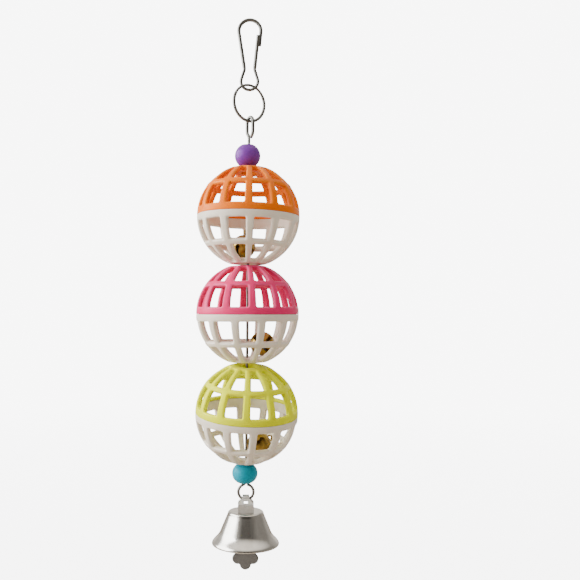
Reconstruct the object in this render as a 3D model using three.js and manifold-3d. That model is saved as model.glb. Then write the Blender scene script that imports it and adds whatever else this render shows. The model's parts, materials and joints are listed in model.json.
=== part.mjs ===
// Hanging ball toy for a cage: a snap hook, a ring, and one wire that carries two beads, three
// lattice balls with a jingle bell loose in each, and a small bell with a flat clapper.
// Millimetres, +Z up, front towards -Y. The origin is the point of the hook that rests on a bar.

import * as THREE from "three";
import { mergeVertices } from "three/addons/utils/BufferGeometryUtils.js";
import Module from "manifold-3d";

const wasm = await Module();
wasm.setup();

// Gap between pieces that rest or run on each other
const CLEAR = 0.3;

// Snap hook: one bent wire with an arch, a waist, a lower loop and a springy gate
const HOOK_WIRE = 1.2;
const ARCH_RADIUS = 4.3;
const WAIST_DROP = 15;
const WAIST_WIDTH = 3.9;
const LOOP_DROP = 4.7;
const LOOP_RADIUS = 3.3;
const TIP_LENGTH = 5.7;
const TIP_INSET = 0.55;
const GATE_OVERLAP = 3.3;
const GATE_INSET = 0.5;
const WAIST_BEND = 1.2;

// Ring between the hook and the wire's upper eye
const RING_DIAMETER = 15;
const RING_WIRE = 1;
const RING_TURN = 33;
const RING_JOIN = 0.5;

// Centre wire: an open upper eye, a straight shank and a round lower eye
const SHANK_WIRE = 1.1;
const UPPER_EYE_RADIUS = 2.05;
const UPPER_EYE_STRAIGHT = 3.2;
const UPPER_EYE_NECK = 3;
const UPPER_EYE_SHIFT = 0.7;
const LOWER_EYE_RADIUS = 2.95;
const LOWER_EYE_NECK_SIDE = 25;
const LOWER_EYE_FREE_SIDE = 11;
const LOWER_EYE_NECK = 1.6;
const STACK_SLACK = 2.45;

// Beads above and below the balls
const BEAD_DIAMETER = 10;
const TOP_BEAD_LENGTH = 8.6;
const BOTTOM_BEAD_LENGTH = 7.6;
const BEAD_HOLE = 3.6;
const BEAD_LAND = 0.5;

// Lattice balls, each of two moulded halves that lap at the rim
const BALL_DIAMETER = 40;
const BALL_HEIGHT = 37.5;
const BALL_WALL = 2;
const CAP_DIAMETER = 13.92;
const POLE_HOLE = 6.4;
const RIB_COUNT = 12;
const RIB_WIDTH = 3.1;
const RIB_TOP_WIDTH = 2;
const RIM_HEIGHT = 2.7;
const BAND_LATITUDE = 36;
const BAND_WIDTH = 2.3;
const LIP_THICKNESS = 0.8;
const LIP_HEIGHT = 1.2;

// Jingle bell that lies loose in each ball, with its pellet
const JINGLE_DIAMETER = 9.4;
const JINGLE_WALL = 0.5;
const JINGLE_SLIT = 1.3;
const JINGLE_SLIT_HOLE = 2;
const JINGLE_SLIT_DROP = 1.2;
const JINGLE_LOOP_WIRE = 0.7;
const JINGLE_LOOP_RADIUS = 1.3;
const PELLET_DIAMETER = 3;

// Bell cup, its strap lug, and the clapper on a pin between the lug's tabs
const BELL_HEIGHT = 12.8;
const BELL_CROWN_DIAMETER = 14;
const BELL_RIM_DIAMETER = 26.2;
const BELL_SKIRT_DIAMETER = 19.8;
const BELL_SKIRT_DROP = 7.9;
const BELL_WALL = 0.6;
const BELL_SHOULDER = 0.9;
const LUG_SHEET = 0.7;
const LUG_ARCH_WIDTH = 2.6;
const LUG_FOOT_WIDTH = 6.2;
const LUG_FOOT_SPREAD = 6.2;
const LUG_FOOT_HEIGHT = 2.8;
const LUG_HEIGHT = 6.3;
const LUG_SLOT_WIDTH = 1.5;
const LUG_SLOT_HEIGHT = 2.2;
const TAB_WIDTH = 4.4;
const TAB_END = 1.2;
const PIN_DIAMETER = 1.2;
const PIN_HEAD = 2.2;
const PIN_HEAD_THICKNESS = 0.5;
const CLAPPER_SHEET = 0.8;
const CLAPPER_STEM = 3;
const CLAPPER_LENGTH = 22.1;
const CLAPPER_LOBE = 4.4;
const CLAPPER_SPREAD = 5.9;
const CLAPPER_SIDE_SWEEP = 108;
const CLAPPER_END_SWEEP = 85;

// Finishes: colour, roughness and metalness
const NICKEL = ["#c9cbcd", 0.2, 1];
const POLISHED = ["#d2d4d6", 0.12, 1];
const STEEL = ["#8d9094", 0.45, 1];
const BRASS = ["#c9a24a", 0.3, 1];
const WHITE = ["#e6e4de", 0.35, 0];
const PURPLE = ["#7d5aa6", 0.35, 0];
const TURQUOISE = ["#3f97a8", 0.35, 0];
const ORANGE = ["#e4762b", 0.35, 0];
const PINK = ["#d4607e", 0.35, 0];
const YELLOW = ["#d6d84a", 0.35, 0];

// Balls from the top down: name, the upper half's finish, lean towards the front, lean to the
// right, azimuths of one rib in each half and of the jingle bell, and how far that bell is tipped
// over sideways; degrees, azimuth 0 at the front and 90 at +X
const BALLS = [
  { name: "orange", finish: ORANGE, front: -2, right: 0.9, upper: 0, lower: 2, jingle: 195, tip: -15 },
  { name: "pink", finish: PINK, front: -0.7, right: -0.5, upper: 5.5, lower: 16, jingle: 90, tip: 80 },
  { name: "yellow", finish: YELLOW, front: 7, right: 1.7, upper: -0.5, lower: 8, jingle: 46, tip: 80 },
];

// How far a cutter reaches past the face it cuts through
const THROUGH = 2;

// Facets: sides, steps round an arc in degrees, points along a bend, and cells
const WIRE_SIDES = 8;
const LOOP_SIDES = 6;
const WIRE_STEP = 15;
const SMALL_STEP = 30;
const SHELL_STEP = 22.5;
const BEND_POINTS = 3;
const NECK_POINTS = 5;
const RING_STEPS = 36;
const BEAD_SEGMENTS = 16;
const BELL_SEGMENTS = 24;
const JINGLE_SEGMENTS = 12;
const SLIT_HOLE_SIDES = 6;
const PELLET_SEGMENTS = 10;
const PELLET_RINGS = 8;
const ROD_SEGMENTS = 16;
const PIN_SEGMENTS = 12;
const GAP_COLUMNS = 2;
const WINDOW_ROWS = 2;

// Search for the ring's seat: points compared on each wire, and the rise from one try to the next
const SEAT_SAMPLES = 240;
const SEAT_RISE = 0.02;

const toRadians = THREE.MathUtils.degToRad;

function namedMesh(name, geometry, [color, roughness, metalness]) {
  const material = new THREE.MeshStandardMaterial({ color, roughness, metalness });
  const mesh = new THREE.Mesh(geometry, material);
  mesh.name = name;
  return mesh;
}

// Merges shared corners so that only closed positions are left
function welded(geometry) {
  const plain = geometry.clone();
  plain.deleteAttribute("normal");
  plain.deleteAttribute("uv");
  return mergeVertices(plain, 1e-4);
}

function toSolid(geometry) {
  const plain = welded(geometry);
  const mesh = new wasm.Mesh({
    numProp: 3,
    vertProperties: new Float32Array(plain.attributes.position.array),
    triVerts: new Uint32Array(plain.index.array),
  });
  return new wasm.Manifold(mesh);
}

function fromSolid(solid) {
  const mesh = solid.getMesh();
  const geometry = new THREE.BufferGeometry();
  geometry.setAttribute("position", new THREE.BufferAttribute(mesh.vertProperties, 3));
  geometry.setIndex(new THREE.BufferAttribute(mesh.triVerts, 1));
  return geometry;
}

// Takes each cutter away from a geometry
function cutBy(geometry, cutters) {
  const solid = cutters.reduce((rest, cutter) => rest.subtract(toSolid(cutter)), toSolid(geometry));
  return fromSolid(solid);
}

// A profile of (radius, height) points turned about Z
function turned(profile, segments) {
  const geometry = new THREE.LatheGeometry(profile, segments);
  geometry.rotateX(Math.PI / 2);
  return geometry;
}

// Points on an arc in a plane, both ends included, from one angle to the other in degrees
function arc(centre, radius, from, to, step) {
  const steps = Math.max(2, Math.round(Math.abs(to - from) / step));
  const points = [];
  for (let i = 0; i <= steps; i += 1) {
    const angle = toRadians(from + ((to - from) * i) / steps);
    const offset = new THREE.Vector2(Math.cos(angle), Math.sin(angle)).multiplyScalar(radius);
    points.push(offset.add(centre));
  }
  return points;
}

// Angle, in degrees, where a line from an outside point touches a circle, on the given side
function touchAngle(centre, radius, point, side) {
  const towards = point.clone().sub(centre);
  const spread = Math.acos(radius / towards.length());
  return THREE.MathUtils.radToDeg(towards.angle() + side * spread);
}

// A corner softened by a curve that starts and ends the given distance from it
function softCorner(before, corner, after, reach) {
  const start = corner.clone().add(before.clone().sub(corner).setLength(reach));
  const end = corner.clone().add(after.clone().sub(corner).setLength(reach));
  return new THREE.QuadraticBezierCurve(start, corner, end).getPoints(BEND_POINTS);
}

// A run of points taken as a path, one step from each point to the next
class WirePath extends THREE.Curve {
  constructor(points) {
    super();
    this.points = points;
  }

  getPoint(t, target = new THREE.Vector3()) {
    const place = t * (this.points.length - 1);
    const index = Math.min(Math.floor(place + 1e-9), this.points.length - 2);
    return target.lerpVectors(this.points[index], this.points[index + 1], place - index);
  }

  getPointAt(t, target) {
    return this.getPoint(t, target);
  }

  getTangentAt(t, target = new THREE.Vector3()) {
    const last = this.points.length - 1;
    const index = Math.round(t * last);
    const before = this.points[Math.max(index - 1, 0)];
    const here = this.points[index];
    const after = this.points[Math.min(index + 1, last)];
    const inward = here.clone().sub(before).normalize();
    const outward = after.clone().sub(here).normalize();
    return target.addVectors(inward, outward).normalize();
  }
}

// A round wire along a run of points
function wire(points, diameter, sides = WIRE_SIDES) {
  const section = new THREE.Shape();
  for (let i = 0; i < sides; i += 1) {
    const angle = (2 * Math.PI * (i + 0.5)) / sides;
    const x = (diameter / 2) * Math.cos(angle);
    const y = (diameter / 2) * Math.sin(angle);
    if (i === 0) section.moveTo(x, y);
    else section.lineTo(x, y);
  }
  const options = { steps: points.length - 1, extrudePath: new WirePath(points) };
  return new THREE.ExtrudeGeometry(section, options);
}

// A rod along Y through the given level
function rod(diameter, length, z, sides = ROD_SEGMENTS) {
  const geometry = new THREE.CylinderGeometry(diameter / 2, diameter / 2, length, sides);
  return geometry.translate(0, 0, z);
}

// Flat (x, z) points stood up in the XZ plane
function upright(points) {
  return points.map((point) => new THREE.Vector3(point.x, 0, point.y));
}

// Snap hook

const archCentre = new THREE.Vector2(0, HOOK_WIRE / 2 - ARCH_RADIUS);
const waistLevel = archCentre.y - WAIST_DROP;
const loopCentre = new THREE.Vector2(0, waistLevel - LOOP_DROP);
const leftWaist = new THREE.Vector2(-WAIST_WIDTH / 2, waistLevel);
const rightWaist = new THREE.Vector2(WAIST_WIDTH / 2, waistLevel);
const hookTip = new THREE.Vector2(ARCH_RADIUS - TIP_INSET, archCentre.y - TIP_LENGTH);
const gatePivot = new THREE.Vector2(LOOP_RADIUS, loopCentre.y);
const pivotGap = THREE.MathUtils.radToDeg(CLEAR / 2 / LOOP_RADIUS);

// The tip, the arch, the straight back leg, the waist and the loop as far as the gate's bend
function hookPoints() {
  const tipSide = touchAngle(archCentre, ARCH_RADIUS, hookTip, 1);
  const legSide = touchAngle(archCentre, ARCH_RADIUS, leftWaist, -1);
  const loopSide = touchAngle(loopCentre, LOOP_RADIUS, leftWaist, 1);
  const arch = arc(archCentre, ARCH_RADIUS, tipSide - 360, legSide, WIRE_STEP);
  const loop = arc(loopCentre, LOOP_RADIUS, loopSide, 360 - pivotGap, WIRE_STEP);
  const waist = softCorner(arch[arch.length - 1], leftWaist, loop[0], WAIST_BEND);
  return [hookTip, ...arch, ...waist, ...loop];
}

// The gate from the loop's bend up past the waist to its free end, in front of the tip
function gatePoints() {
  const loopSide = touchAngle(loopCentre, LOOP_RADIUS, rightWaist, -1);
  const loop = arc(loopCentre, LOOP_RADIUS, pivotGap, loopSide, WIRE_STEP);
  const end = new THREE.Vector2(hookTip.x - GATE_INSET, hookTip.y + GATE_OVERLAP);
  const waist = softCorner(loop[loop.length - 1], rightWaist, end, WAIST_BEND);
  const straightFrom = waist[waist.length - 1];
  const slope = (HOOK_WIRE + CLEAR) / (hookTip.y - straightFrom.y);
  return [...loop, ...waist, end].map((point) => {
    const front = Math.max(0, point.y - straightFrom.y) * slope;
    return new THREE.Vector3(point.x, -front, point.y);
  });
}

// Ring, raised in the loop until its turned wire clears the hook's wire

const ringRadius = (RING_DIAMETER - RING_WIRE) / 2;
const ringAcross = new THREE.Vector3(Math.cos(toRadians(RING_TURN)), Math.sin(toRadians(RING_TURN)), 0);

function ringPoint(angle, centreZ) {
  const point = ringAcross.clone().multiplyScalar(ringRadius * Math.sin(angle));
  point.z = centreZ + ringRadius * Math.cos(angle);
  return point;
}

function leastDistance(run, others) {
  let least = Infinity;
  for (const point of run) {
    for (const other of others) {
      least = Math.min(least, point.distanceTo(other));
    }
  }
  return least;
}

function seatedRingCentre() {
  const loop = [];
  for (let i = 0; i <= SEAT_SAMPLES; i += 1) {
    const angle = Math.PI * (1 + i / SEAT_SAMPLES);
    const x = LOOP_RADIUS * Math.cos(angle);
    loop.push(new THREE.Vector3(x, 0, loopCentre.y + LOOP_RADIUS * Math.sin(angle)));
  }
  const needed = (HOOK_WIRE + RING_WIRE) / 2 + CLEAR;
  let centreZ = loopCentre.y - LOOP_RADIUS - ringRadius + needed;
  for (;;) {
    const top = [];
    for (let i = 0; i <= SEAT_SAMPLES; i += 1) {
      top.push(ringPoint(Math.PI * (i / SEAT_SAMPLES - 0.5), centreZ));
    }
    if (leastDistance(top, loop) >= needed) return centreZ;
    centreZ += SEAT_RISE;
  }
}

const ringCentreZ = seatedRingCentre();

// The ring's wire is butted with its join at one side
function ringPoints() {
  const join = RING_JOIN / 2 / ringRadius;
  const start = Math.PI / 2 + join;
  const sweep = 2 * Math.PI - 2 * join;
  const points = [];
  for (let i = 0; i <= RING_STEPS; i += 1) {
    points.push(ringPoint(start + (sweep * i) / RING_STEPS, ringCentreZ));
  }
  return points;
}

// Levels down the centre wire

const eyeTop = ringCentreZ - ringRadius + (RING_WIRE + SHANK_WIRE) / 2 + CLEAR;
const upperEyeCentreZ = eyeTop - UPPER_EYE_RADIUS;
const upperEyeLowZ = upperEyeCentreZ - UPPER_EYE_STRAIGHT;
const upperNeckZ = upperEyeLowZ - UPPER_EYE_NECK;

// A ball's round form is cut off by a flat cap at each end; inside, both follow at the wall
const ballRadius = BALL_DIAMETER / 2;
const innerRadius = ballRadius - BALL_WALL;
const capRadius = CAP_DIAMETER / 2;
const capHeight = BALL_HEIGHT / 2 - CLEAR / 2;
const innerCap = capHeight - BALL_WALL;
const capEdge = Math.acos(capRadius / ballRadius);
const poleRadius = capHeight / Math.sin(capEdge);
const innerPole = poleRadius - BALL_WALL;

// Radius of the round inside at a height above the rim
function innerRadiusAt(height) {
  return innerRadius * Math.sqrt(1 - (height / innerPole) ** 2);
}

// Beads hang to one side of the wire, half as far as their holes allow
const beadPlay = (BEAD_HOLE - SHANK_WIRE) / 2 - CLEAR;
const beadX = -beadPlay / 2;
const beadEnd = BEAD_HOLE / 2 + BEAD_LAND;

function leanOf(ball) {
  return toRadians(Math.hypot(ball.front, ball.right));
}

// Height of a leaning ball's cap over its centre, at the edge that stands highest
function capEdgeHeight(ball) {
  return (BALL_HEIGHT / 2) * Math.cos(leanOf(ball)) + capRadius * Math.sin(leanOf(ball));
}

// Height of that cap where a bead's end meets it
function beadSeatHeight(ball) {
  const reach = beadEnd + Math.abs(beadX);
  return BALL_HEIGHT / 2 / Math.cos(leanOf(ball)) + reach * Math.tan(leanOf(ball));
}

const topBeadZ = upperNeckZ - STACK_SLACK - TOP_BEAD_LENGTH / 2;
let level = topBeadZ - TOP_BEAD_LENGTH / 2;
const ballLevels = BALLS.map((ball, i) => {
  const above = i === 0 ? beadSeatHeight(ball) : capEdgeHeight(ball);
  const below = i === BALLS.length - 1 ? beadSeatHeight(ball) : capEdgeHeight(ball);
  const centre = level - CLEAR - above;
  level = centre - below;
  return centre;
});
const bottomBeadZ = level - CLEAR - BOTTOM_BEAD_LENGTH / 2;
const eyeOuter = LOWER_EYE_RADIUS + SHANK_WIRE / 2;
const beadEdge = BEAD_HOLE / 2 - Math.abs(beadX);
const beadSeat = Math.sqrt(eyeOuter ** 2 - beadEdge ** 2);
const lowerEyeZ = bottomBeadZ - BOTTOM_BEAD_LENGTH / 2 - CLEAR - beadSeat;

// The upper eye, open at its tail, stands across the ring's plane and its flat points are (p, z)
function upperEyePoints() {
  const shift = -UPPER_EYE_SHIFT;
  const tailSide = shift - UPPER_EYE_RADIUS;
  const shankSide = shift + UPPER_EYE_RADIUS;
  const middle = (upperEyeLowZ + upperNeckZ) / 2;
  const tailEnd = new THREE.Vector2(-(SHANK_WIRE + CLEAR), upperNeckZ + CLEAR);
  const tailBend = new THREE.Vector2(tailSide, middle);
  const tailTop = new THREE.Vector2(tailSide, upperEyeLowZ);
  const tail = new THREE.QuadraticBezierCurve(tailEnd, tailBend, tailTop).getPoints(BEND_POINTS);
  const over = arc(new THREE.Vector2(shift, upperEyeCentreZ), UPPER_EYE_RADIUS, 180, 0, WIRE_STEP);
  const neck = new THREE.CubicBezierCurve(
    new THREE.Vector2(shankSide, upperEyeLowZ),
    new THREE.Vector2(shankSide, middle),
    new THREE.Vector2(0, middle),
    new THREE.Vector2(0, upperNeckZ),
  ).getPoints(NECK_POINTS);
  const acrossRing = new THREE.Vector3(-ringAcross.y, ringAcross.x, 0);
  return [...tail, ...over, ...neck].map((point) => {
    const place = acrossRing.clone().multiplyScalar(point.x);
    place.z = point.y;
    return place;
  });
}

// The lower eye is a round loop in the XZ plane, with its mouth beside the shank
function lowerEyePoints() {
  const centre = new THREE.Vector2(0, lowerEyeZ);
  const mouth = [90 + LOWER_EYE_NECK_SIDE, 450 - LOWER_EYE_FREE_SIDE];
  const round = arc(centre, LOWER_EYE_RADIUS, ...mouth, WIRE_STEP);
  const shankEnd = new THREE.Vector2(0, lowerEyeZ + LOWER_EYE_RADIUS + LOWER_EYE_NECK);
  const pull = LOWER_EYE_NECK / 2;
  const along = round[0].clone().sub(round[1]).setLength(pull);
  const neck = new THREE.CubicBezierCurve(
    shankEnd,
    new THREE.Vector2(0, shankEnd.y - pull),
    round[0].clone().add(along),
    round[0],
  ).getPoints(NECK_POINTS);
  return upright([...neck.slice(0, -1), ...round]);
}

// Bead: a barrel between two flat ends with a wide hole
function beadGeometry(length) {
  const half = length / 2;
  const hole = BEAD_HOLE / 2;
  const bulge = BEAD_DIAMETER / 2 - beadEnd;
  const radius = (bulge ** 2 + half ** 2) / (2 * bulge);
  const centre = new THREE.Vector2(BEAD_DIAMETER / 2 - radius, 0);
  const reach = THREE.MathUtils.radToDeg(Math.atan2(half, beadEnd - centre.x));
  const start = new THREE.Vector2(hole, -half);
  const barrel = arc(centre, radius, -reach, reach, SHELL_STEP);
  const profile = [start, ...barrel, new THREE.Vector2(hole, half), start];
  return turned(profile, BEAD_SEGMENTS);
}

// Rows of a half ball from the rim to the pole hole, as radius and height outside and inside, with
// the rib's half angle; full says that the band above the row has no windows
function halfBallRows() {
  const rimTop = Math.asin(RIM_HEIGHT / poleRadius);
  const bandHalf = BAND_WIDTH / 2 / ballRadius;
  const bandLow = toRadians(BAND_LATITUDE) - bandHalf;
  const bandHigh = toRadians(BAND_LATITUDE) + bandHalf;
  const row = (latitude, full) => {
    const share = (latitude - rimTop) / (capEdge - rimTop);
    const width = THREE.MathUtils.lerp(RIB_WIDTH, RIB_TOP_WIDTH, Math.max(0, share));
    const radius = ballRadius * Math.cos(latitude);
    return {
      outer: [radius, poleRadius * Math.sin(latitude)],
      inner: [innerRadius * Math.cos(latitude), innerPole * Math.sin(latitude)],
      rib: Math.asin(width / 2 / radius),
      full,
    };
  };
  const rows = [row(0, true)];
  for (let i = 0; i < WINDOW_ROWS; i += 1) {
    rows.push(row(THREE.MathUtils.lerp(rimTop, bandLow, i / WINDOW_ROWS), false));
  }
  rows.push(row(bandLow, true));
  for (let i = 0; i < WINDOW_ROWS; i += 1) {
    rows.push(row(THREE.MathUtils.lerp(bandHigh, capEdge, i / WINDOW_ROWS), false));
  }
  const cap = row(capEdge, true);
  cap.inner = [innerRadiusAt(innerCap), innerCap];
  const hole = POLE_HOLE / 2;
  rows.push(cap, { outer: [hole, capHeight], inner: [hole, innerCap], rib: cap.rib, full: false });
  return rows;
}

// Steps of the rim's end face from outside to inside: a lip that stands up, or the recess for it
function rimSteps(lipped) {
  const lipOuter = innerRadius + LIP_THICKNESS;
  if (lipped) {
    const lipEnd = -(CLEAR + LIP_HEIGHT);
    return [[ballRadius, 0], [lipOuter, 0], [lipOuter, lipEnd], [innerRadius, lipEnd]];
  }
  const recess = lipOuter + CLEAR;
  const depth = LIP_HEIGHT + CLEAR;
  return [[ballRadius, 0], [recess, 0], [recess, depth], [innerRadiusAt(depth), depth]];
}

// Half ball: a net of cells over azimuth and latitude, with skins on full cells and rib cells and a
// wall wherever such a cell borders a window, the rim's end or the pole hole
function halfBallGeometry(lipped) {
  const rows = halfBallRows();
  const rim = rimSteps(lipped);
  rows[0].inner = rim[rim.length - 1];
  const perRib = 1 + GAP_COLUMNS;
  const columns = RIB_COUNT * perRib;
  const pitch = (2 * Math.PI) / RIB_COUNT;
  const positions = [];
  const azimuth = (row, column) => {
    const wrapped = column % columns;
    const rib = Math.floor(wrapped / perRib) * pitch;
    const share = ((wrapped % perRib) - 1) / GAP_COLUMNS;
    if (share < 0) return rib - row.rib;
    return THREE.MathUtils.lerp(rib + row.rib, rib + pitch - row.rib, share);
  };
  const corner = (row, column, [radius, height]) => {
    const angle = azimuth(row, column);
    return [radius * Math.sin(angle), -radius * Math.cos(angle), height];
  };
  const quad = (a, b, c, d) => positions.push(...a, ...b, ...c, ...a, ...c, ...d);
  const filled = (i, j) => {
    if (i < 0 || i >= rows.length - 1) return false;
    return rows[i].full || (j + columns) % perRib === 0;
  };
  for (let j = 0; j < columns; j += 1) {
    for (let i = 0; i < rows.length - 1; i += 1) {
      if (!filled(i, j)) continue;
      const [low, high] = [rows[i], rows[i + 1]];
      const outside = [corner(low, j, low.outer), corner(low, j + 1, low.outer)];
      outside.push(corner(high, j + 1, high.outer), corner(high, j, high.outer));
      const inside = [corner(low, j, low.inner), corner(low, j + 1, low.inner)];
      inside.push(corner(high, j + 1, high.inner), corner(high, j, high.inner));
      quad(...outside);
      quad(inside[0], inside[3], inside[2], inside[1]);
      if (!filled(i, j - 1)) quad(outside[0], outside[3], inside[3], inside[0]);
      if (!filled(i, j + 1)) quad(outside[2], outside[1], inside[1], inside[2]);
      if (i > 0 && !filled(i - 1, j)) quad(outside[1], outside[0], inside[0], inside[1]);
      if (!filled(i + 1, j)) quad(outside[3], outside[2], inside[2], inside[3]);
    }
    for (let k = 0; k < rim.length - 1; k += 1) {
      const first = rows[0];
      const here = [corner(first, j, rim[k]), corner(first, j + 1, rim[k])];
      const next = [corner(first, j, rim[k + 1]), corner(first, j + 1, rim[k + 1])];
      quad(here[1], here[0], next[0], next[1]);
    }
  }
  const geometry = new THREE.BufferGeometry();
  geometry.setAttribute("position", new THREE.Float32BufferAttribute(positions, 3));
  return welded(geometry);
}

// Jingle bell

const jingleRadius = JINGLE_DIAMETER / 2;
const jingleInner = jingleRadius - JINGLE_WALL;
const pelletReach = jingleInner - PELLET_DIAMETER / 2 - CLEAR;
const jingleNeck = JINGLE_LOOP_WIRE / 2 + CLEAR;

// The jingle bell lies beside the wire of a leaning ball, on the ribs or on the flat of the cap
function jinglePlace(ball) {
  const reach = jingleRadius + CLEAR;
  const wireDrift = (innerPole - reach) * Math.sin(leanOf(ball));
  const fromAxis = SHANK_WIRE / 2 + reach + wireDrift;
  const ribShare = fromAxis / (innerRadius - reach);
  const ribDrop = (innerPole - reach) * Math.sqrt(1 - ribShare ** 2);
  return new THREE.Vector3(0, -fromAxis, -Math.min(ribDrop, innerCap - reach));
}

// Thin ball with a hole for the loop's legs and two crossed slits that end in round holes
function jingleShellGeometry() {
  const hole = jingleNeck + JINGLE_LOOP_WIRE / 2 + CLEAR;
  const outerEnd = THREE.MathUtils.radToDeg(Math.acos(hole / jingleRadius));
  const innerEnd = THREE.MathUtils.radToDeg(Math.acos(hole / jingleInner));
  const centre = new THREE.Vector2(0, 0);
  const outside = arc(centre, jingleRadius, -90, outerEnd, SHELL_STEP);
  const inside = arc(centre, jingleInner, innerEnd, -90, SHELL_STEP);
  outside[0].setX(0);
  inside[inside.length - 1].setX(0);
  const shell = turned([...outside, ...inside], JINGLE_SEGMENTS);
  const length = JINGLE_DIAMETER + 2 * THROUGH;
  const cutters = [];
  for (const turn of [45, 135]) {
    const slit = new THREE.BoxGeometry(JINGLE_SLIT, length, jingleRadius);
    slit.translate(0, 0, -JINGLE_SLIT_DROP - jingleRadius / 2);
    const holes = rod(JINGLE_SLIT_HOLE, length, -JINGLE_SLIT_DROP, SLIT_HOLE_SIDES);
    cutters.push(slit.rotateZ(toRadians(turn)), holes.rotateZ(toRadians(turn)));
  }
  return cutBy(shell, cutters);
}

// Wire loop whose legs go in through the shell's hole and spread apart inside
function jingleLoopGeometry() {
  const spread = jingleNeck + JINGLE_LOOP_WIRE * 2;
  const top = Math.sqrt(jingleInner ** 2 - (spread + JINGLE_LOOP_WIRE) ** 2) - CLEAR;
  const legEnd = top - JINGLE_LOOP_WIRE / 2;
  const centre = new THREE.Vector2(0, jingleRadius + JINGLE_LOOP_RADIUS);
  const mouth = THREE.MathUtils.radToDeg(Math.asin(jingleNeck / JINGLE_LOOP_RADIUS));
  const round = arc(centre, JINGLE_LOOP_RADIUS, -90 + mouth, 270 - mouth, SMALL_STEP);
  const right = [new THREE.Vector2(spread, legEnd), new THREE.Vector2(jingleNeck, top)];
  const left = right.map((point) => new THREE.Vector2(-point.x, point.y)).reverse();
  return wire(upright([...right, ...round, ...left]), JINGLE_LOOP_WIRE, LOOP_SIDES);
}

// Bell

const eyeLowZ = lowerEyeZ - LOWER_EYE_RADIUS;
const archHalf = LUG_ARCH_WIDTH / 2;
const eyeSlope = Math.asin(archHalf / LOWER_EYE_RADIUS);
const eyeRise = LOWER_EYE_RADIUS * (1 - Math.cos(eyeSlope));
const lugArchTop = eyeLowZ + eyeRise + SHANK_WIRE / 2 / Math.cos(eyeSlope) + CLEAR;
const lugTopZ = lugArchTop + LUG_SHEET;
const crownZ = lugTopZ - LUG_HEIGHT;
const pinZ = crownZ - BELL_WALL - CLEAR - Math.max(PIN_HEAD, CLAPPER_STEM) / 2;
const tabEndZ = pinZ - PIN_DIAMETER / 2 - TAB_END;

// Profile moved inwards by the wall, square to its own line
function insetProfile(profile, distance) {
  return profile.map((point, i) => {
    const before = profile[Math.max(i - 1, 0)];
    const after = profile[Math.min(i + 1, profile.length - 1)];
    const along = after.clone().sub(before).normalize();
    return new THREE.Vector2(point.x + along.y * distance, point.y - along.x * distance);
  });
}

// Cup with a flat crown, a slanted skirt that flares to the rim, and two slots for the lug's tabs
function bellCupGeometry() {
  const crown = BELL_CROWN_DIAMETER / 2;
  const rim = BELL_RIM_DIAMETER / 2;
  const skirt = new THREE.Vector2(BELL_SKIRT_DIAMETER / 2, -BELL_SKIRT_DROP);
  const shoulderEnd = new THREE.Vector2(crown, -BELL_SHOULDER);
  const shoulderCentre = new THREE.Vector2(crown - BELL_SHOULDER, -BELL_SHOULDER);
  const shoulder = arc(shoulderCentre, BELL_SHOULDER, 90, 0, SMALL_STEP);
  const pull = (BELL_HEIGHT - BELL_SKIRT_DROP) / 2;
  const slope = (skirt.x - crown) / (shoulderEnd.y - skirt.y);
  const bend = new THREE.Vector2(skirt.x + slope * pull, skirt.y - pull);
  const lip = new THREE.Vector2(rim, -BELL_HEIGHT);
  const aboveLip = new THREE.Vector2(rim, lip.y + pull / 2);
  const flare = new THREE.CubicBezierCurve(skirt, bend, aboveLip, lip).getPoints(NECK_POINTS);
  const outside = [new THREE.Vector2(0, 0), ...shoulder, ...flare];
  const inside = insetProfile(outside, BELL_WALL);
  inside[0].set(0, -BELL_WALL);
  inside[inside.length - 1].setY(lip.y);
  const cup = turned([...outside, ...inside.reverse()].reverse(), BELL_SEGMENTS);
  const depth = 2 * (BELL_WALL + THROUGH);
  const slots = [-1, 1].map((side) => {
    const slot = new THREE.BoxGeometry(TAB_WIDTH + 2 * CLEAR, LUG_SHEET + 2 * CLEAR, depth);
    return slot.translate(0, (side * (LUG_FOOT_SPREAD - LUG_SHEET)) / 2, 0);
  });
  return cutBy(cup, slots);
}

// Outline of the strap seen from the side, as (y, z): an arch over the eye, legs that spread to the
// feet, and tabs that go down through the crown
function lugSide() {
  const outer = LUG_FOOT_SPREAD / 2;
  const inner = outer - LUG_SHEET;
  const archInner = SHANK_WIRE / 2 + CLEAR;
  const centre = new THREE.Vector2(0, lugArchTop - archInner);
  const footTop = crownZ + LUG_FOOT_HEIGHT;
  const outside = arc(centre, archInner + LUG_SHEET, 180, 0, SMALL_STEP);
  const inside = arc(centre, archInner, 0, 180, SMALL_STEP);
  const right = [[outer, footTop], [outer, tabEndZ], [inner, tabEndZ], [inner, footTop]];
  const left = [[-inner, footTop], [-inner, tabEndZ], [-outer, tabEndZ], [-outer, footTop]];
  const toPoints = (pairs) => pairs.map(([y, z]) => new THREE.Vector2(y, z));
  return [...outside, ...toPoints(right), ...inside, ...toPoints(left)];
}

// Outline of the strap seen from the front, as (x, z): an arch that widens to the feet, then tabs
function lugFront() {
  const footTop = crownZ + LUG_FOOT_HEIGHT;
  const seat = crownZ + CLEAR;
  const foot = LUG_FOOT_WIDTH / 2;
  const tab = TAB_WIDTH / 2;
  const over = lugTopZ + THROUGH;
  const waist = lugArchTop - SHANK_WIRE / 2;
  const half = [[archHalf, over], [archHalf, waist], [foot, footTop], [foot, seat], [tab, seat]];
  half.push([tab, tabEndZ - THROUGH]);
  const right = half.map(([x, z]) => new THREE.Vector2(x, z));
  const left = half.map(([x, z]) => new THREE.Vector2(-x, z)).reverse();
  return [...right, ...left];
}

// An outline in (horizontal, z) made a solid of the given depth, centred on the XZ plane
function slab(outline, depth) {
  const options = { depth, bevelEnabled: false, steps: 1 };
  const geometry = new THREE.ExtrudeGeometry(new THREE.Shape(outline), options);
  geometry.translate(0, 0, -depth / 2);
  return geometry.rotateX(Math.PI / 2);
}

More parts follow.
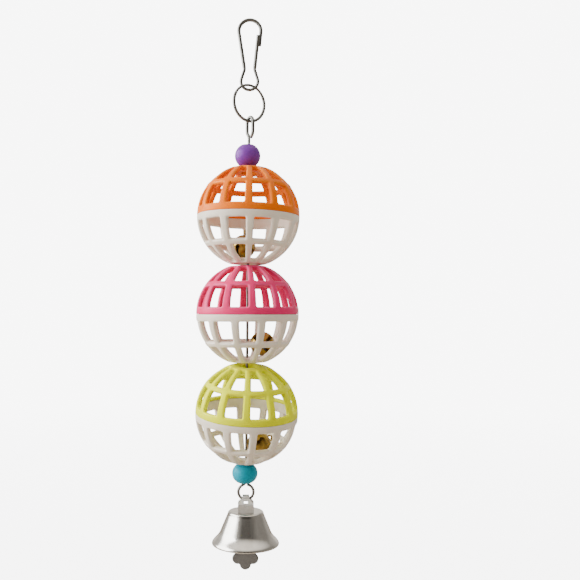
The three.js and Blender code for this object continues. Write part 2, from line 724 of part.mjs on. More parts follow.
function bellLugGeometry() {
  const depth = LUG_FOOT_SPREAD + 2 * THROUGH;
  const strap = slab(lugSide(), LUG_FOOT_WIDTH).rotateZ(Math.PI / 2);
  const slotTop = lugArchTop - SHANK_WIRE - CLEAR;
  const slot = new THREE.BoxGeometry(LUG_SLOT_WIDTH, depth, LUG_SLOT_HEIGHT);
  slot.translate(0, 0, slotTop - LUG_SLOT_HEIGHT / 2);
  const pinHole = rod(PIN_DIAMETER + 2 * CLEAR, depth, pinZ);
  const trimmed = toSolid(strap).intersect(toSolid(slab(lugFront(), depth)));
  return fromSolid(trimmed.subtract(toSolid(slot)).subtract(toSolid(pinHole)));
}

// Pin with a flat head outside each tab
function clapperPinGeometry() {
  const shank = LUG_FOOT_SPREAD / 2 + CLEAR;
  const end = shank + PIN_HEAD_THICKNESS;
  const pin = PIN_DIAMETER / 2;
  const head = PIN_HEAD / 2;
  const half = [[pin, shank], [head, shank], [head, end], [0, end]];
  const upper = half.map(([r, y]) => new THREE.Vector2(r, y));
  const lower = half.map(([r, y]) => new THREE.Vector2(r, -y)).reverse();
  return new THREE.LatheGeometry([...lower, ...upper], PIN_SEGMENTS).translate(0, 0, pinZ);
}

// Flat clapper: an eye on the pin, a stem, and three round lobes below the rim
function clapperGeometry() {
  const lobe = CLAPPER_LOBE / 2;
  const stem = CLAPPER_STEM / 2;
  const lowest = pinZ + stem - CLAPPER_LENGTH;
  const sideZ = lowest + CLAPPER_LOBE;
  const side = CLAPPER_SPREAD / 2;
  const eye = arc(new THREE.Vector2(0, pinZ), stem, 180, 0, SMALL_STEP);
  const lobeOn = (x, z, facing, sweep) =>
    arc(new THREE.Vector2(x, z), lobe, facing + sweep, facing - sweep, SMALL_STEP);
  const right = lobeOn(side, sideZ, 0, CLAPPER_SIDE_SWEEP);
  const bottom = lobeOn(0, lowest + lobe, -90, CLAPPER_END_SWEEP);
  const left = lobeOn(-side, sideZ, 180, CLAPPER_SIDE_SWEEP);
  const neck = [new THREE.Vector2(stem, sideZ + lobe), new THREE.Vector2(-stem, sideZ + lobe)];
  const plate = slab([...eye, neck[0], ...right, ...bottom, ...left, neck[1]], CLAPPER_SHEET);
  return cutBy(plate, [rod(PIN_DIAMETER + 2 * CLEAR, CLAPPER_SHEET + 2 * THROUGH, pinZ)]);
}

// Assembly

const toy = new THREE.Group();

toy.add(namedMesh("snap_hook", wire(upright(hookPoints()), HOOK_WIRE), NICKEL));
toy.add(namedMesh("hook_gate", wire(gatePoints(), HOOK_WIRE), NICKEL));
toy.add(namedMesh("hanging_ring", wire(ringPoints(), RING_WIRE), NICKEL));
const wirePoints = [...upperEyePoints(), ...lowerEyePoints()];
toy.add(namedMesh("centre_wire", wire(wirePoints, SHANK_WIRE), NICKEL));

const topBead = namedMesh("top_bead", beadGeometry(TOP_BEAD_LENGTH), PURPLE);
topBead.position.set(beadX, 0, topBeadZ);
const bottomBead = namedMesh("bottom_bead", beadGeometry(BOTTOM_BEAD_LENGTH), TURQUOISE);
bottomBead.position.set(beadX, 0, bottomBeadZ);
toy.add(topBead, bottomBead);

// A jingle bell lies on the lower half's ribs, against the wire, with its pellet at its lowest point
function jingleBell(ball) {
  const place = new THREE.Group();
  place.rotation.z = toRadians(ball.jingle);
  const bell = new THREE.Group();
  bell.position.copy(jinglePlace(ball));
  const leaning = new THREE.Group();
  leaning.rotation.y = toRadians(ball.tip);
  leaning.add(namedMesh(`${ball.name}_jingle_shell`, jingleShellGeometry(), BRASS));
  leaning.add(namedMesh(`${ball.name}_jingle_loop`, jingleLoopGeometry(), BRASS));
  const sphere = new THREE.SphereGeometry(PELLET_DIAMETER / 2, PELLET_SEGMENTS, PELLET_RINGS);
  const pellet = namedMesh(`${ball.name}_jingle_pellet`, sphere, STEEL);
  pellet.position.z = -pelletReach;
  bell.add(leaning, pellet);
  place.add(bell);
  return place;
}

BALLS.forEach((ball, i) => {
  const group = new THREE.Group();
  group.position.z = ballLevels[i];
  group.rotation.set(toRadians(ball.front), toRadians(ball.right), 0);
  const upper = namedMesh(`${ball.name}_upper_shell`, halfBallGeometry(false), ball.finish);
  upper.position.z = CLEAR / 2;
  upper.rotation.z = toRadians(ball.upper);
  const lower = namedMesh(`${ball.name}_lower_shell`, halfBallGeometry(true), WHITE);
  lower.position.z = -CLEAR / 2;
  lower.rotation.set(Math.PI, 0, toRadians(ball.lower), "ZYX");
  group.add(upper, lower, jingleBell(ball));
  toy.add(group);
});

toy.add(namedMesh("bell_lug", bellLugGeometry(), NICKEL));
const cup = namedMesh("bell_cup", bellCupGeometry(), POLISHED);
cup.position.z = crownZ;
toy.add(cup);
toy.add(namedMesh("clapper_pin", clapperPinGeometry(), NICKEL));
toy.add(namedMesh("clapper", clapperGeometry(), STEEL));

export default toy;
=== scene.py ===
import json
import math

import bmesh
import bpy
import numpy as np
from mathutils import Matrix, Vector


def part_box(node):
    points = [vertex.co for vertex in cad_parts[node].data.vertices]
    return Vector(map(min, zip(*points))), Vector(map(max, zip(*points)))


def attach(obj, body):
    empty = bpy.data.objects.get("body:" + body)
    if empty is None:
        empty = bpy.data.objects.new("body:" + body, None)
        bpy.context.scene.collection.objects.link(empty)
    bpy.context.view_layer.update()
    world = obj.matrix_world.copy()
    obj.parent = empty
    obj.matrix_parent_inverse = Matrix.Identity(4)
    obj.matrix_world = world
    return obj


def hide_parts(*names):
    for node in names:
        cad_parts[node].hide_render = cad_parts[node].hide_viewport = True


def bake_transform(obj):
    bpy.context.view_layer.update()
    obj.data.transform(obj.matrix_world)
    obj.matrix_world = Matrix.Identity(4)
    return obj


# Looks of the hanging ball toy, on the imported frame, with +Z up and the front towards -Y. Sizes are in
# millimetres, and become metres when a mesh is made. Angles are in degrees unless a comment says.

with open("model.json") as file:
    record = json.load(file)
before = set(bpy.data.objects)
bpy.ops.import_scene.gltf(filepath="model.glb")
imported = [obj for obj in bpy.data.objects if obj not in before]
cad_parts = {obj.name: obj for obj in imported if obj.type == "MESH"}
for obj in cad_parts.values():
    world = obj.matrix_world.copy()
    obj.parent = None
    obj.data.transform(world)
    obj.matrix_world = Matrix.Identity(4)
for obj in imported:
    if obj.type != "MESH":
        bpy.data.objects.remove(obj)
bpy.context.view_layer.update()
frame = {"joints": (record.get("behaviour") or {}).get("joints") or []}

MM = 0.001
PIVOT = {joint["name"]: np.array(joint["pos_m"]) / MM for joint in frame["joints"]}

# Clearance between pieces that touch at rest
REST_GAP = 0.3

# Snap hook and ring
HOOK_WIRE = 1.2
ARCH_RADIUS = 4.3
WAIST_DROP = 15
WAIST_WIDTH = 3.9
LOOP_DROP = 4.7
LOOP_RADIUS = 3.3
TIP_LENGTH = 5.7
TIP_INSET = 0.55
GATE_OVERLAP = 3.3
GATE_INSET = 0.5
GATE_FRONT = 1.5
GATE_START = -40
GATE_BEND = 3.2
HOOK_SOFT = 0.6
HOOK_TIP_ROUND = 0.25
RING_DIAMETER = 15
RING_WIRE = 1
RING_TURN = 33
RING_JOIN = 0.25

# Plating, and the shares of the ring's radius between which it is rubbed off towards the top
PLATING = 0.2
RING_RUBBED = (1 / 3, 2 / 3)

# Centre wire
SHANK_WIRE = 1.1
UPPER_EYE_RADIUS = 2.05
UPPER_EYE_STRAIGHT = 3.2
UPPER_EYE_NECK = 3
UPPER_EYE_SHIFT = 0.7
LOWER_EYE_RADIUS = 2.95
LOWER_EYE_NECK_SIDE = 25
LOWER_EYE_FREE_SIDE = 11
LOWER_EYE_NECK = 1.6
SHANK_SOFT = 0.7

# Beads
BEAD_DIAMETER = 10
TOP_BEAD_LENGTH = 8.6
BOTTOM_BEAD_LENGTH = 7.6
BEAD_HOLE = 3.6
BEAD_LAND = 0.5

# Lattice balls
BALL_RADIUS = 20
CAP_HEIGHT = 18.6
CAP_RADIUS = 6.96
CAP_SOFT = 0.9
CAP_BORDER = 1.3
BALL_WALL = 2
POLE_HOLE = 6.4
RIB_COUNT = 12
RIB_WIDTH = 3.1
RIB_TOP_WIDTH = 2
RIB_SOFT = 0.72
RIM_HEIGHT = 2.7
BAND_LATITUDE = 36
BAND_WIDTH = 2.3
WINDOW_CORNER = 0.55
WINDOW_OVER_CAP = 0.35
WIDEST_CORNER = 0.9
LIP_THICKNESS = 0.8
LIP_HEIGHT = 1.5
LAP_GAP = 0.3
HALF_SHIFT = 0.15
SEAM_REACH = 0.11
SEAM_SOFT = 0.2

# How each ball leans and is turned on the wire, and where its jingle bell lies and tips
BALLS = {
    "orange": {"front": -2, "right": 0.9, "upper": 0, "lower": 2, "jingle": 195, "tip": -15},
    "pink": {"front": -0.7, "right": -0.5, "upper": 5.5, "lower": 16, "jingle": 90, "tip": 80},
    "yellow": {"front": 7, "right": 1.7, "upper": -0.5, "lower": 8, "jingle": 46, "tip": 80},
}

# Jingle bells
JINGLE_RADIUS = 4.7
JINGLE_WALL = 0.5
JINGLE_SLIT = 1.3
JINGLE_SLIT_HOLE = 2
JINGLE_SLIT_DROP = 1.2
JINGLE_TOP_HOLE = 1.15
JINGLE_SEAM = 0.12
JINGLE_SEAM_WIDTH = 0.16
JINGLE_SEAM_ZONE = 0.45
JINGLE_LOOP_WIRE = 0.7
JINGLE_LOOP_RADIUS = 1.3
JINGLE_LOOP_NECK = 0.65
JINGLE_LOOP_SPREAD = 1.4
JINGLE_LOOP_SOFT = 0.5
PELLET_DIAMETER = 3
PELLET_REACH = 2.4

# Bell, lug, pin and clapper
BELL_HEIGHT = 12.8
BELL_CROWN = 7
BELL_RIM = 13.1
BELL_SKIRT = 9.9
BELL_SKIRT_DROP = 7.9
BELL_WALL = 0.6
BELL_SHOULDER = 0.9
LUG_SHEET = 0.7
LUG_ARCH_HALF = 1.3
LUG_FOOT_HALF = 3.1
LUG_TAB_HALF = 2.2
LUG_TAB_STEP = 0.02
LUG_FOOT_Y = 2.75
LUG_FOOT_HEIGHT = 2.8
LUG_HEIGHT = 6.3
LUG_SLOT_HALF = 0.75
LUG_SLOT_HEIGHT = 2.2
LUG_SOFT = 0.15
LUG_SOFT_ANGLE = 50
LUG_SOFT_STEPS = 3
TAB_END = 1.8
PIN_DIAMETER = 1.2
PIN_HEAD = 2.2
PIN_SHANK = 3.4
PIN_HEAD_THICKNESS = 0.5
CLAPPER_SHEET = 0.8
CLAPPER_STEM = 1.5
CLAPPER_EYE_LENGTH = 3.6
CLAPPER_LENGTH = 22.1
CLAPPER_LOBE = 2.2
CLAPPER_SPREAD = 2.95
CLAPPER_SHOULDER = 0.6
CLAPPER_NOTCH_SOFT = 0.9
CLAPPER_EDGE_SOFT = 0.22
SIDE_LOBE_SWEEP = 108
LOW_LOBE_SWEEP = 85

# Fineness of the meshes: steps along a path in millimetres, and counts of points
WIRE_STEP = 0.22
WIRE_SIDES = 18
WIRE_ROUND = 0.35
RING_POINTS = 150
ARC_POINTS = 90
END_POINTS = 4
FILLET_POINTS = 5
BEAD_ROUND = 56
SIDE_POINTS = 15
ACROSS_POINTS = 5
CORNER_POINTS = 3
CELL_STEPS = RIB_COUNT * (ACROSS_POINTS + 2 * CORNER_POINTS + 1)
PETAL_POINTS = 9
SLIT_POINTS = 14
JINGLE_ROWS = 12
JINGLE_LOOP_STEP = 0.15
JINGLE_LOOP_SIDES = 14
BELL_ROUND = 96
PIN_ROUND = 28
PELLET_ROUND = 24
CLAPPER_STEP = 0.2
CLAPPER_JOIN_POINTS = 17
CLAPPER_LEG_POINTS = 14
SAME_PLACE = 1e-6
FRONT_ANGLE = -np.pi / 2
QUARTER = np.radians(np.linspace(0, 90, 4))
FINE_QUARTER = np.radians(np.linspace(0, 90, 5))

# Mesh clean-up, in metres and degrees
MERGE_DISTANCE = 2e-6
SLIVER = 1e-7
SHARP_ANGLE = 40


# Arrays and meshes

def unit(vectors):
    """Vectors at length one, along the last axis."""
    return vectors / np.linalg.norm(vectors, axis=-1, keepdims=True)


def stacked(*values):
    """Points from their coordinates, which are arrays or numbers, spread to one shape."""
    return np.stack(np.broadcast_arrays(*values), -1)


def circle(centre, radius, start, end, count):
    """Points centre + radius (cos a, sin a), for count angles a from start to end."""
    angle = np.radians(np.linspace(start, end, count))
    return np.asarray(centre) + radius * stacked(np.cos(angle), np.sin(angle))


def bezier(count, *points):
    """A Bezier curve of the given control points: the sum of each point by its Bernstein weight."""
    t = np.linspace(0, 1, count)[:, None]
    last = len(points) - 1
    weights = [math.comb(last, i) * t**i * (1 - t) ** (last - i) for i in range(len(points))]
    return sum(weight * np.asarray(point, float) for weight, point in zip(weights, points))


def arc_length(points):
    """Length of a run of points from its start to each point."""
    return np.hstack([0, np.cumsum(np.linalg.norm(np.diff(points, axis=0), axis=1))])


def even_path(points, spacing, soften):
    """A run of points redrawn at equal steps of arc length, then averaged over a window of soften, as if it
    went straight on past its ends."""
    points = np.asarray(points, float)
    points = points[np.hstack([True, np.diff(arc_length(points)) > SAME_PLACE])]
    run = arc_length(points)
    place = np.linspace(0, run[-1], int(run[-1] / spacing) + 2)
    even = stacked(*[np.interp(place, run, column) for column in points.T])
    half = int(soften / spacing / 2)
    outwards = np.arange(1, half + 1)[:, None]
    before = even[0] + (even[0] - even[1]) * outwards[::-1]
    after = even[-1] + (even[-1] - even[-2]) * outwards
    longer = np.vstack([0 * even[0], before, even, after])
    total = np.cumsum(longer, axis=0)
    width = 2 * half + 1
    return (total[width:] - total[:-width]) / width


def upright(points):
    """Flat (x, z) points stood up in the plane y = 0."""
    points = np.asarray(points, float)
    return stacked(points[:, 0], 0.0, points[:, 1])


def touch_angle(centre, radius, point, side):
    """Angle where a line from an outside point touches a circle, on the given side."""
    towards = np.asarray(point, float) - centre
    spread = math.acos(radius / np.hypot(*towards))
    return math.degrees(math.atan2(towards[1], towards[0]) + side * spread)


def net(rows, columns, wrap_rows=False, wrap_columns=False):
    """Quads of a grid whose point (i, j) has the index i * columns + j, wrapped round where asked."""
    i = np.arange(rows if wrap_rows else rows - 1)[:, None]
    j = np.arange(columns if wrap_columns else columns - 1)[None, :]
    down = (i + 1) % rows
    right = (j + 1) % columns
    corners = [i * columns + j, i * columns + right, down * columns + right, down * columns + j]
    return stacked(*corners).reshape(-1, 4)


def joined(*parts):
    """Points, quads and edge marks, which place the painted highlight, of several grids as one set, with
    marks of 0 where a grid has none.
    """
    points, quads, marks, start = [], [], [], 0
    for grid, grid_quads, *grid_marks in parts:
        mark = grid_marks[0] if grid_marks else 0.0
        points.append(grid.reshape(-1, 3))
        quads.append(grid_quads + start)
        marks.append(np.broadcast_to(mark, grid.shape[:-1]).ravel())
        start += len(points[-1])
    return np.vstack(points), np.vstack(quads), np.hstack(marks)


def placed(surface, turn=None, at=(0, 0, 0)):
    """A surface with its points turned by a 3 by 3 matrix and moved."""
    points, *rest = surface
    points = points if turn is None else points @ np.array(turn).T
    return points + np.asarray(at), *rest


def swept_wire(path, diameter, across, sides=WIRE_SIDES, tips=(WIRE_ROUND, WIRE_ROUND)):
    """A round section carried along a path. With tangent t, side = t x across and up = side x t, the point
    at angle a is path + r (cos a side + sin a up). The ends are rounded over the tip's share of r and closed
    at their centres; a tip of 0 is cut square."""
    path = np.asarray(path, float)
    radius = np.broadcast_to(np.asarray(diameter) / 2, len(path))
    tangent = unit(np.gradient(path, axis=0))

    def end_rings(at, tip, way):
        """Centres and radii of an end's rings: its centre, then a quarter circle of the tip's size."""
        reach = tip * radius[at] * np.hstack([1, np.cos(QUARTER)])
        size = radius[at] * np.hstack([0, 1 - tip * (1 - np.sin(QUARTER))])
        return path[at] + way * tangent[at] * reach[:, None], size, np.full(len(reach), at)

    first, first_size, first_at = end_rings(0, tips[0], -1)
    last, last_size, last_at = end_rings(-1, tips[1], 1)
    line = np.vstack([first, path[1:-1], last[::-1]])
    radii = np.hstack([first_size, radius[1:-1], last_size[::-1]])
    order = np.hstack([first_at, np.arange(1, len(path) - 1), last_at])
    side = unit(np.cross(tangent, np.broadcast_to(across, path.shape)))[order]
    up = np.cross(side, tangent[order])
    angle = np.linspace(0, 2 * np.pi, sides, endpoint=False)[None, :, None]
    ring = np.cos(angle) * side[:, None] + np.sin(angle) * up[:, None]
    points = line[:, None] + radii[:, None, None] * ring
    return points, net(len(line), sides, wrap_columns=True)[:, ::-1]


def plated(diameter, share):
    """A wire's diameter with plating: whole where share is 1 or more, none where it is 0 or less, and a
    smooth step between."""
    share = np.clip(share, 0, 1)
    return diameter + PLATING * share * share * (3 - 2 * share)


def around(radius, angle, height):
    """Points (r cos a, r sin a, h) of a radius, an angle in radians and a height."""
    return stacked(radius * np.cos(angle), radius * np.sin(angle), height)


def lathe(profile, segments, closed=False, start=0.0):
    """A profile of (radius, height) turned about Z, from a start in radians."""
    profile = np.asarray(profile, float)
    angle = start + np.linspace(0, 2 * np.pi, segments, endpoint=False)
    points = around(profile[:, :1], angle, profile[:, 1:])
    return points, net(len(profile), segments, wrap_rows=closed, wrap_columns=True)


def added(name, data):
    """A new object of the given data, linked to the scene."""
    made = bpy.data.objects.new(name, data)
    bpy.context.scene.collection.objects.link(made)
    return made


def piece(name, surface, finish, body, solid, blend=None):
    """A mesh of a surface's points and quads, with equal corners merged, that replaces a solid and rides on a
    body, or, where blend is given, stays put and rides on none. A third array in the surface is kept as the
    attribute edge."""
    points, quads, edge = surface if len(surface) == 3 else joined(surface)
    mesh = bpy.data.meshes.new(name)
    mesh.from_pydata((points * MM).tolist(), [], quads.tolist())
    # The attribute edge carries the marks where plastics get a painted highlight
    mesh.attributes.new("edge", "FLOAT", "POINT").data.foreach_set("value", edge.astype(np.float32))
    work = bmesh.new()
    work.from_mesh(mesh)
    bmesh.ops.remove_doubles(work, verts=work.verts, dist=MERGE_DISTANCE)
    bmesh.ops.dissolve_degenerate(work, edges=work.edges, dist=SLIVER)
    work.to_mesh(mesh)
    work.free()
    mesh.polygons.foreach_set("use_smooth", np.ones(len(mesh.polygons), bool))
    mesh.set_sharp_from_angle(angle=math.radians(SHARP_ANGLE))
    mesh.materials.append(FINISHES[finish])
    made = added(name, mesh)
    if blend:
        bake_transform(made)
    else:
        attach(made, body)
    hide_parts(solid)
    return made


# Snap hook

arch_centre = np.array([0, HOOK_WIRE / 2 - ARCH_RADIUS])
waist_level = arch_centre[1] - WAIST_DROP
loop_centre = np.array([0, waist_level - LOOP_DROP])
left_waist = np.array([-WAIST_WIDTH / 2, waist_level])
right_waist = np.array([WAIST_WIDTH / 2, waist_level])
hook_tip = np.array([ARCH_RADIUS - TIP_INSET, arch_centre[1] - TIP_LENGTH])


def hook_line():
    """Middle line of hook and gate, and the index where the gate starts: arcs and lines from the tip round
    to the gate's end, softened, with the gate drawn forwards in step with its height."""
    tip_side = touch_angle(arch_centre, ARCH_RADIUS, hook_tip, 1) - 360
    leg_side = touch_angle(arch_centre, ARCH_RADIUS, left_waist, -1)
    left_side = touch_angle(loop_centre, LOOP_RADIUS, left_waist, 1)
    right_side = touch_angle(loop_centre, LOOP_RADIUS, right_waist, -1) + 360
    gate_end = hook_tip + [-GATE_INSET, GATE_OVERLAP]
    arch = circle(arch_centre, ARCH_RADIUS, tip_side, leg_side, ARC_POINTS)
    loop = circle(loop_centre, LOOP_RADIUS, left_side, right_side, ARC_POINTS)
    flat = np.vstack([hook_tip, arch, left_waist, loop, right_waist, gate_end])
    line = upright(even_path(flat, WIRE_STEP, HOOK_SOFT))
    line = np.vstack([upright([hook_tip]), line[END_POINTS:-END_POINTS], upright([gate_end])])
    turn = np.degrees(np.arctan2(line[:, 2] - loop_centre[1], line[:, 0] - loop_centre[0]))
    past_lowest = np.arange(len(line)) > np.argmin(line[:, 2])
    gate = past_lowest & (turn > GATE_START)
    rise = np.clip((line[:, 2] - waist_level) / (hook_tip[1] - waist_level), 0, None)
    line[:, 1] = np.where(gate, -GATE_FRONT * rise, 0)
    return line, int(np.argmax(gate))


# Centre wire

def upper_eye(top):
    """Flat line of the upper eye, and the height where the shank starts: a curve up from the tail, a half
    circle, and an S-curve back to the middle line."""
    centre = top - UPPER_EYE_RADIUS
    low = centre - UPPER_EYE_STRAIGHT
    neck_low = low - UPPER_EYE_NECK
    neck_middle = (low + neck_low) / 2
    tail_side = -UPPER_EYE_SHIFT - UPPER_EYE_RADIUS
    shank_side = UPPER_EYE_RADIUS - UPPER_EYE_SHIFT
    tail_end = [-(SHANK_WIRE + REST_GAP), neck_low + REST_GAP]
    line = np.vstack([
        bezier(16, tail_end, [tail_side, neck_middle], [tail_side, low]),
        circle((-UPPER_EYE_SHIFT, centre), UPPER_EYE_RADIUS, 180, 0, 60),
        bezier(24, [shank_side, low], [shank_side, neck_middle], [0, neck_middle], [0, neck_low]),
    ])
    return line, neck_low


def lower_eye(lowest):
    """Flat line of the lower eye, and the height where the shank ends: a short curve, then nearly a full
    circle."""
    centre = lowest + LOWER_EYE_RADIUS
    start, end = 90 + LOWER_EYE_NECK_SIDE, 450 - LOWER_EYE_FREE_SIDE
    eye = circle((0, centre), LOWER_EYE_RADIUS, start, end, ARC_POINTS)
    shank_end = centre + LOWER_EYE_RADIUS + LOWER_EYE_NECK
    pull = LOWER_EYE_NECK / 2
    into_eye = eye[0] + unit(eye[0] - eye[1]) * pull
    neck = bezier(16, [0, shank_end], [0, shank_end - pull], into_eye, eye[0])
    return np.vstack([neck, eye]), shank_end


# Beads

def bead(length):
    """Barrel turned about Z: an arc between two narrow flat ends, with a hole whose edges are rounded."""
    half, hole = length / 2, BEAD_HOLE / 2
    edge = hole + BEAD_LAND
    bulge = BEAD_DIAMETER / 2 - edge
    radius = (bulge**2 + half**2) / (2 * bulge)
    reach = math.degrees(math.atan2(half, edge - BEAD_DIAMETER / 2 + radius))
    barrel = circle((BEAD_DIAMETER / 2 - radius, 0), radius, -reach, reach, 40)
    top = circle((edge, half - BEAD_LAND), BEAD_LAND, 90, 180, 7)[1:]
    return lathe(np.vstack([barrel, top, (top * [1, -1])[::-1]]), BEAD_ROUND, closed=True)


# Lattice balls

def meridian():
    """Outer line of a half ball, as a table over arc length from the rim of radius, height and outward
    normal: an ellipse, a soft corner, and a flat cap to the pole hole. Angles are in radians."""
    cap_angle = math.acos(CAP_RADIUS / BALL_RADIUS)
    size = np.array([BALL_RADIUS, CAP_HEIGHT / math.sin(cap_angle)])
    below_rim = 0.05
    angle = np.linspace(-below_rim, cap_angle - CAP_SOFT / BALL_RADIUS, 240)
    ball = size * stacked(np.cos(angle), np.sin(angle))
    corner = np.array([CAP_RADIUS, CAP_HEIGHT])
    flat_from = corner - [CAP_SOFT, 0]
    soft = bezier(24, ball[-1], corner, flat_from)
    flat = np.linspace(flat_from, [POLE_HOLE / 2, CAP_HEIGHT], 40)
    line = np.vstack([ball, soft[1:], flat[1:]])
    run = arc_length(line)
    run -= np.interp(0, angle, run[: len(angle)])
    tangent = unit(np.gradient(line, run, axis=0))
    normal = stacked(tangent[:, 1], -tangent[:, 0])
    return run, line, normal, run[-1], run[len(angle) - 1]


MERIDIAN, MERIDIAN_LINE, MERIDIAN_NORMAL, HOLE_RUN, CAP_RUN = meridian()


def on_meridian(run, depth):
    """Radius and height of the meridian's point at run, moved inwards by depth along its normal."""
    columns = (*MERIDIAN_LINE.T, *MERIDIAN_NORMAL.T)
    radius, height, out, up = (np.interp(run, MERIDIAN, column) for column in columns)
    return radius - depth * out, height - depth * up


def window_ring(half_low, half_high, half_height, corner):
    """A rounded window as (across, along) from -1 to 1, counter-clockwise from the middle of its lower left
    corner. Corners are quarter ellipses, corner millimetres wide and high, with straight sides between."""
    parts = []
    narrow = corner / half_height
    wide = {-1: corner / half_low, 1: corner / half_high}
    for start, along in ((225, ACROSS_POINTS), (315, SIDE_POINTS), (45, ACROSS_POINTS), (135, SIDE_POINTS)):
        ends = []
        for middle in (start, start + 90):
            sign = np.sign([math.cos(math.radians(middle)), math.sin(math.radians(middle))])
            size = np.array([min(wide[int(sign[1])], WIDEST_CORNER), narrow])
            low, high = (middle, middle + 45) if middle == start else (middle - 45, middle)
            ends.append(circle((0, 0), 1, low, high, CORNER_POINTS + 1) * size + sign * (1 - size))
        straight = np.linspace(ends[0][-1], ends[1][0], along + 2)[1:-1]
        parts += [ends[0], straight, ends[1][:-1]]
    return np.vstack(parts)


def cell_ring():
    """The square outline, from -1 to 1, whose points pair with those of window_ring."""
    across = np.linspace(-1, 1, ACROSS_POINTS + 2 * CORNER_POINTS + 2)[:-1]
    along = np.linspace(-1, 1, SIDE_POINTS + 2 * CORNER_POINTS + 2)[:-1]
    return np.vstack([stacked(across, -1), stacked(1, along), stacked(-across, 1), stacked(-1, -along)])


def rib_half(run):
    """Half of a rib's width at a run up the meridian."""
    share = np.clip((run - RIM_HEIGHT) / (CAP_RUN - RIM_HEIGHT), 0, 1)
    return (RIB_WIDTH + (RIB_TOP_WIDTH - RIB_WIDTH) * share) / 2


def windowed_row(cell, inner_cell, window):
    """One row of cells, each a rounded window in the shell. From the cell's edge on the outer skin, loops
    close in on the window, go round its softened edge through the wall, and open out to the cell's edge on
    the inner skin. Each argument is a lowest and a highest run."""
    pitch = 2 * math.pi / RIB_COUNT
    square = cell_ring()

    def cell_edge(low, high):
        """Azimuths and runs of the cell's square outline."""
        return np.stack([square[:, 0] * pitch / 2, low + (square[:, 1] + 1) / 2 * (high - low)])

    def window_edge(grow):
        """Azimuths and runs of the window's outline, widened all round by grow."""
        low, high = window[0] - grow, window[1] + grow
        ends = np.array([low, high])
        half = on_meridian(ends, 0)[0] * pitch / 2 - rib_half(ends) + grow
        ring = window_ring(*half, (high - low) / 2, WINDOW_CORNER + grow)
        run = low + (ring[:, 1] + 1) / 2 * (high - low)
        radius = on_meridian(run, 0)[0]
        return np.stack([ring[:, 0] * (pitch / 2 - (rib_half(run) - grow) / radius), run])

    grow = RIB_SOFT * (1 - np.sin(FINE_QUARTER))
    sink = RIB_SOFT * (1 - np.cos(FINE_QUARTER))
    outer, inner, rim = cell_edge(*cell), cell_edge(*inner_cell), window_edge(RIB_SOFT)
    soft_edge = [window_edge(step) for step in grow]
    loops = np.stack([outer, (outer + rim) / 2, *soft_edge, *soft_edge[::-1], (inner + rim) / 2, inner])
    depth = np.hstack([0, 0, sink, BALL_WALL - sink[::-1], BALL_WALL, BALL_WALL])
    # Marks for the painted highlight, rising and falling over the outer softened edge of each window
    highlight_mark = np.zeros(len(loops))
    highlight_mark[2 : 2 + len(sink)] = np.sin(2 * FINE_QUARTER)
    azimuth, run = loops[:, 0], loops[:, 1]
    turns = (np.arange(RIB_COUNT) + 0.5)[:, None, None] * pitch + FRONT_ANGLE
    radius, height = on_meridian(run, depth[:, None])
    points = around(radius, azimuth + turns, height)
    one_cell = net(*azimuth.shape, wrap_columns=True)
    quads = (one_cell + azimuth.size * np.arange(RIB_COUNT)[:, None, None]).reshape(-1, 4)
    return points, quads, highlight_mark[:, None]


def half_ball(lipped):
    """Half ball: a row of windows up to the band, another up to the cap, the rim's end with its lip or the
    recess for one, and the cap with its pole hole."""
    band = math.radians(BAND_LATITUDE) * BALL_RADIUS
    low = SEAM_SOFT - SEAM_REACH
    inner_low = -SEAM_REACH if lipped else LIP_HEIGHT
    top = CAP_RUN + CAP_BORDER
    half_band = BAND_WIDTH / 2
    lower = windowed_row((low, band), (inner_low, band), (RIM_HEIGHT, band - half_band))
    upper = windowed_row((band, top), (band, top), (band + half_band, CAP_RUN + WINDOW_OVER_CAP))

    start = np.array(on_meridian(low, 0))
    stop = np.array(on_meridian(inner_low, BALL_WALL))
    soft = circle((BALL_RADIUS - SEAM_SOFT, start[1]), SEAM_SOFT, 0, -90, FILLET_POINTS)
    lip = BALL_RADIUS - BALL_WALL + LIP_THICKNESS
    if lipped:
        steps = [[lip, -SEAM_REACH], [lip, -LIP_HEIGHT], [stop[0], -LIP_HEIGHT]]
    else:
        steps = [[lip + LAP_GAP, -SEAM_REACH], [lip + LAP_GAP, LIP_HEIGHT]]
    rim = np.vstack([start, soft[1:], steps, stop])

    runs = np.linspace(top, HOLE_RUN - RIB_SOFT, 7)
    outside = stacked(*on_meridian(runs, 0))
    inside = stacked(*on_meridian(runs, BALL_WALL))
    hole = POLE_HOLE / 2 + RIB_SOFT
    lead_in = circle((hole, CAP_HEIGHT - RIB_SOFT), RIB_SOFT, 90, 180, FILLET_POINTS)
    lead_out = circle((hole, CAP_HEIGHT - BALL_WALL + RIB_SOFT), RIB_SOFT, 180, 270, FILLET_POINTS)
    cap = np.vstack([outside[:-1], lead_in, lead_out, inside[-2::-1]])
    bands = [lathe(line, CELL_STEPS, start=FRONT_ANGLE) for line in (rim[::-1], cap)]
    return joined(lower, upper, *bands)


# Jingle bells

def jingle_skins(height):
    """(radius, height) of a jingle bell's outer skin, a ball with a raised seam, and of its inner skin, the
    ball less its wall."""
    seam = JINGLE_SEAM * np.exp(-((height / JINGLE_SEAM_WIDTH) ** 2))
    level = np.sqrt(JINGLE_RADIUS**2 - height**2)
    share = (JINGLE_RADIUS - JINGLE_WALL) / JINGLE_RADIUS
    return stacked(level + seam, height), stacked(level, height) * share


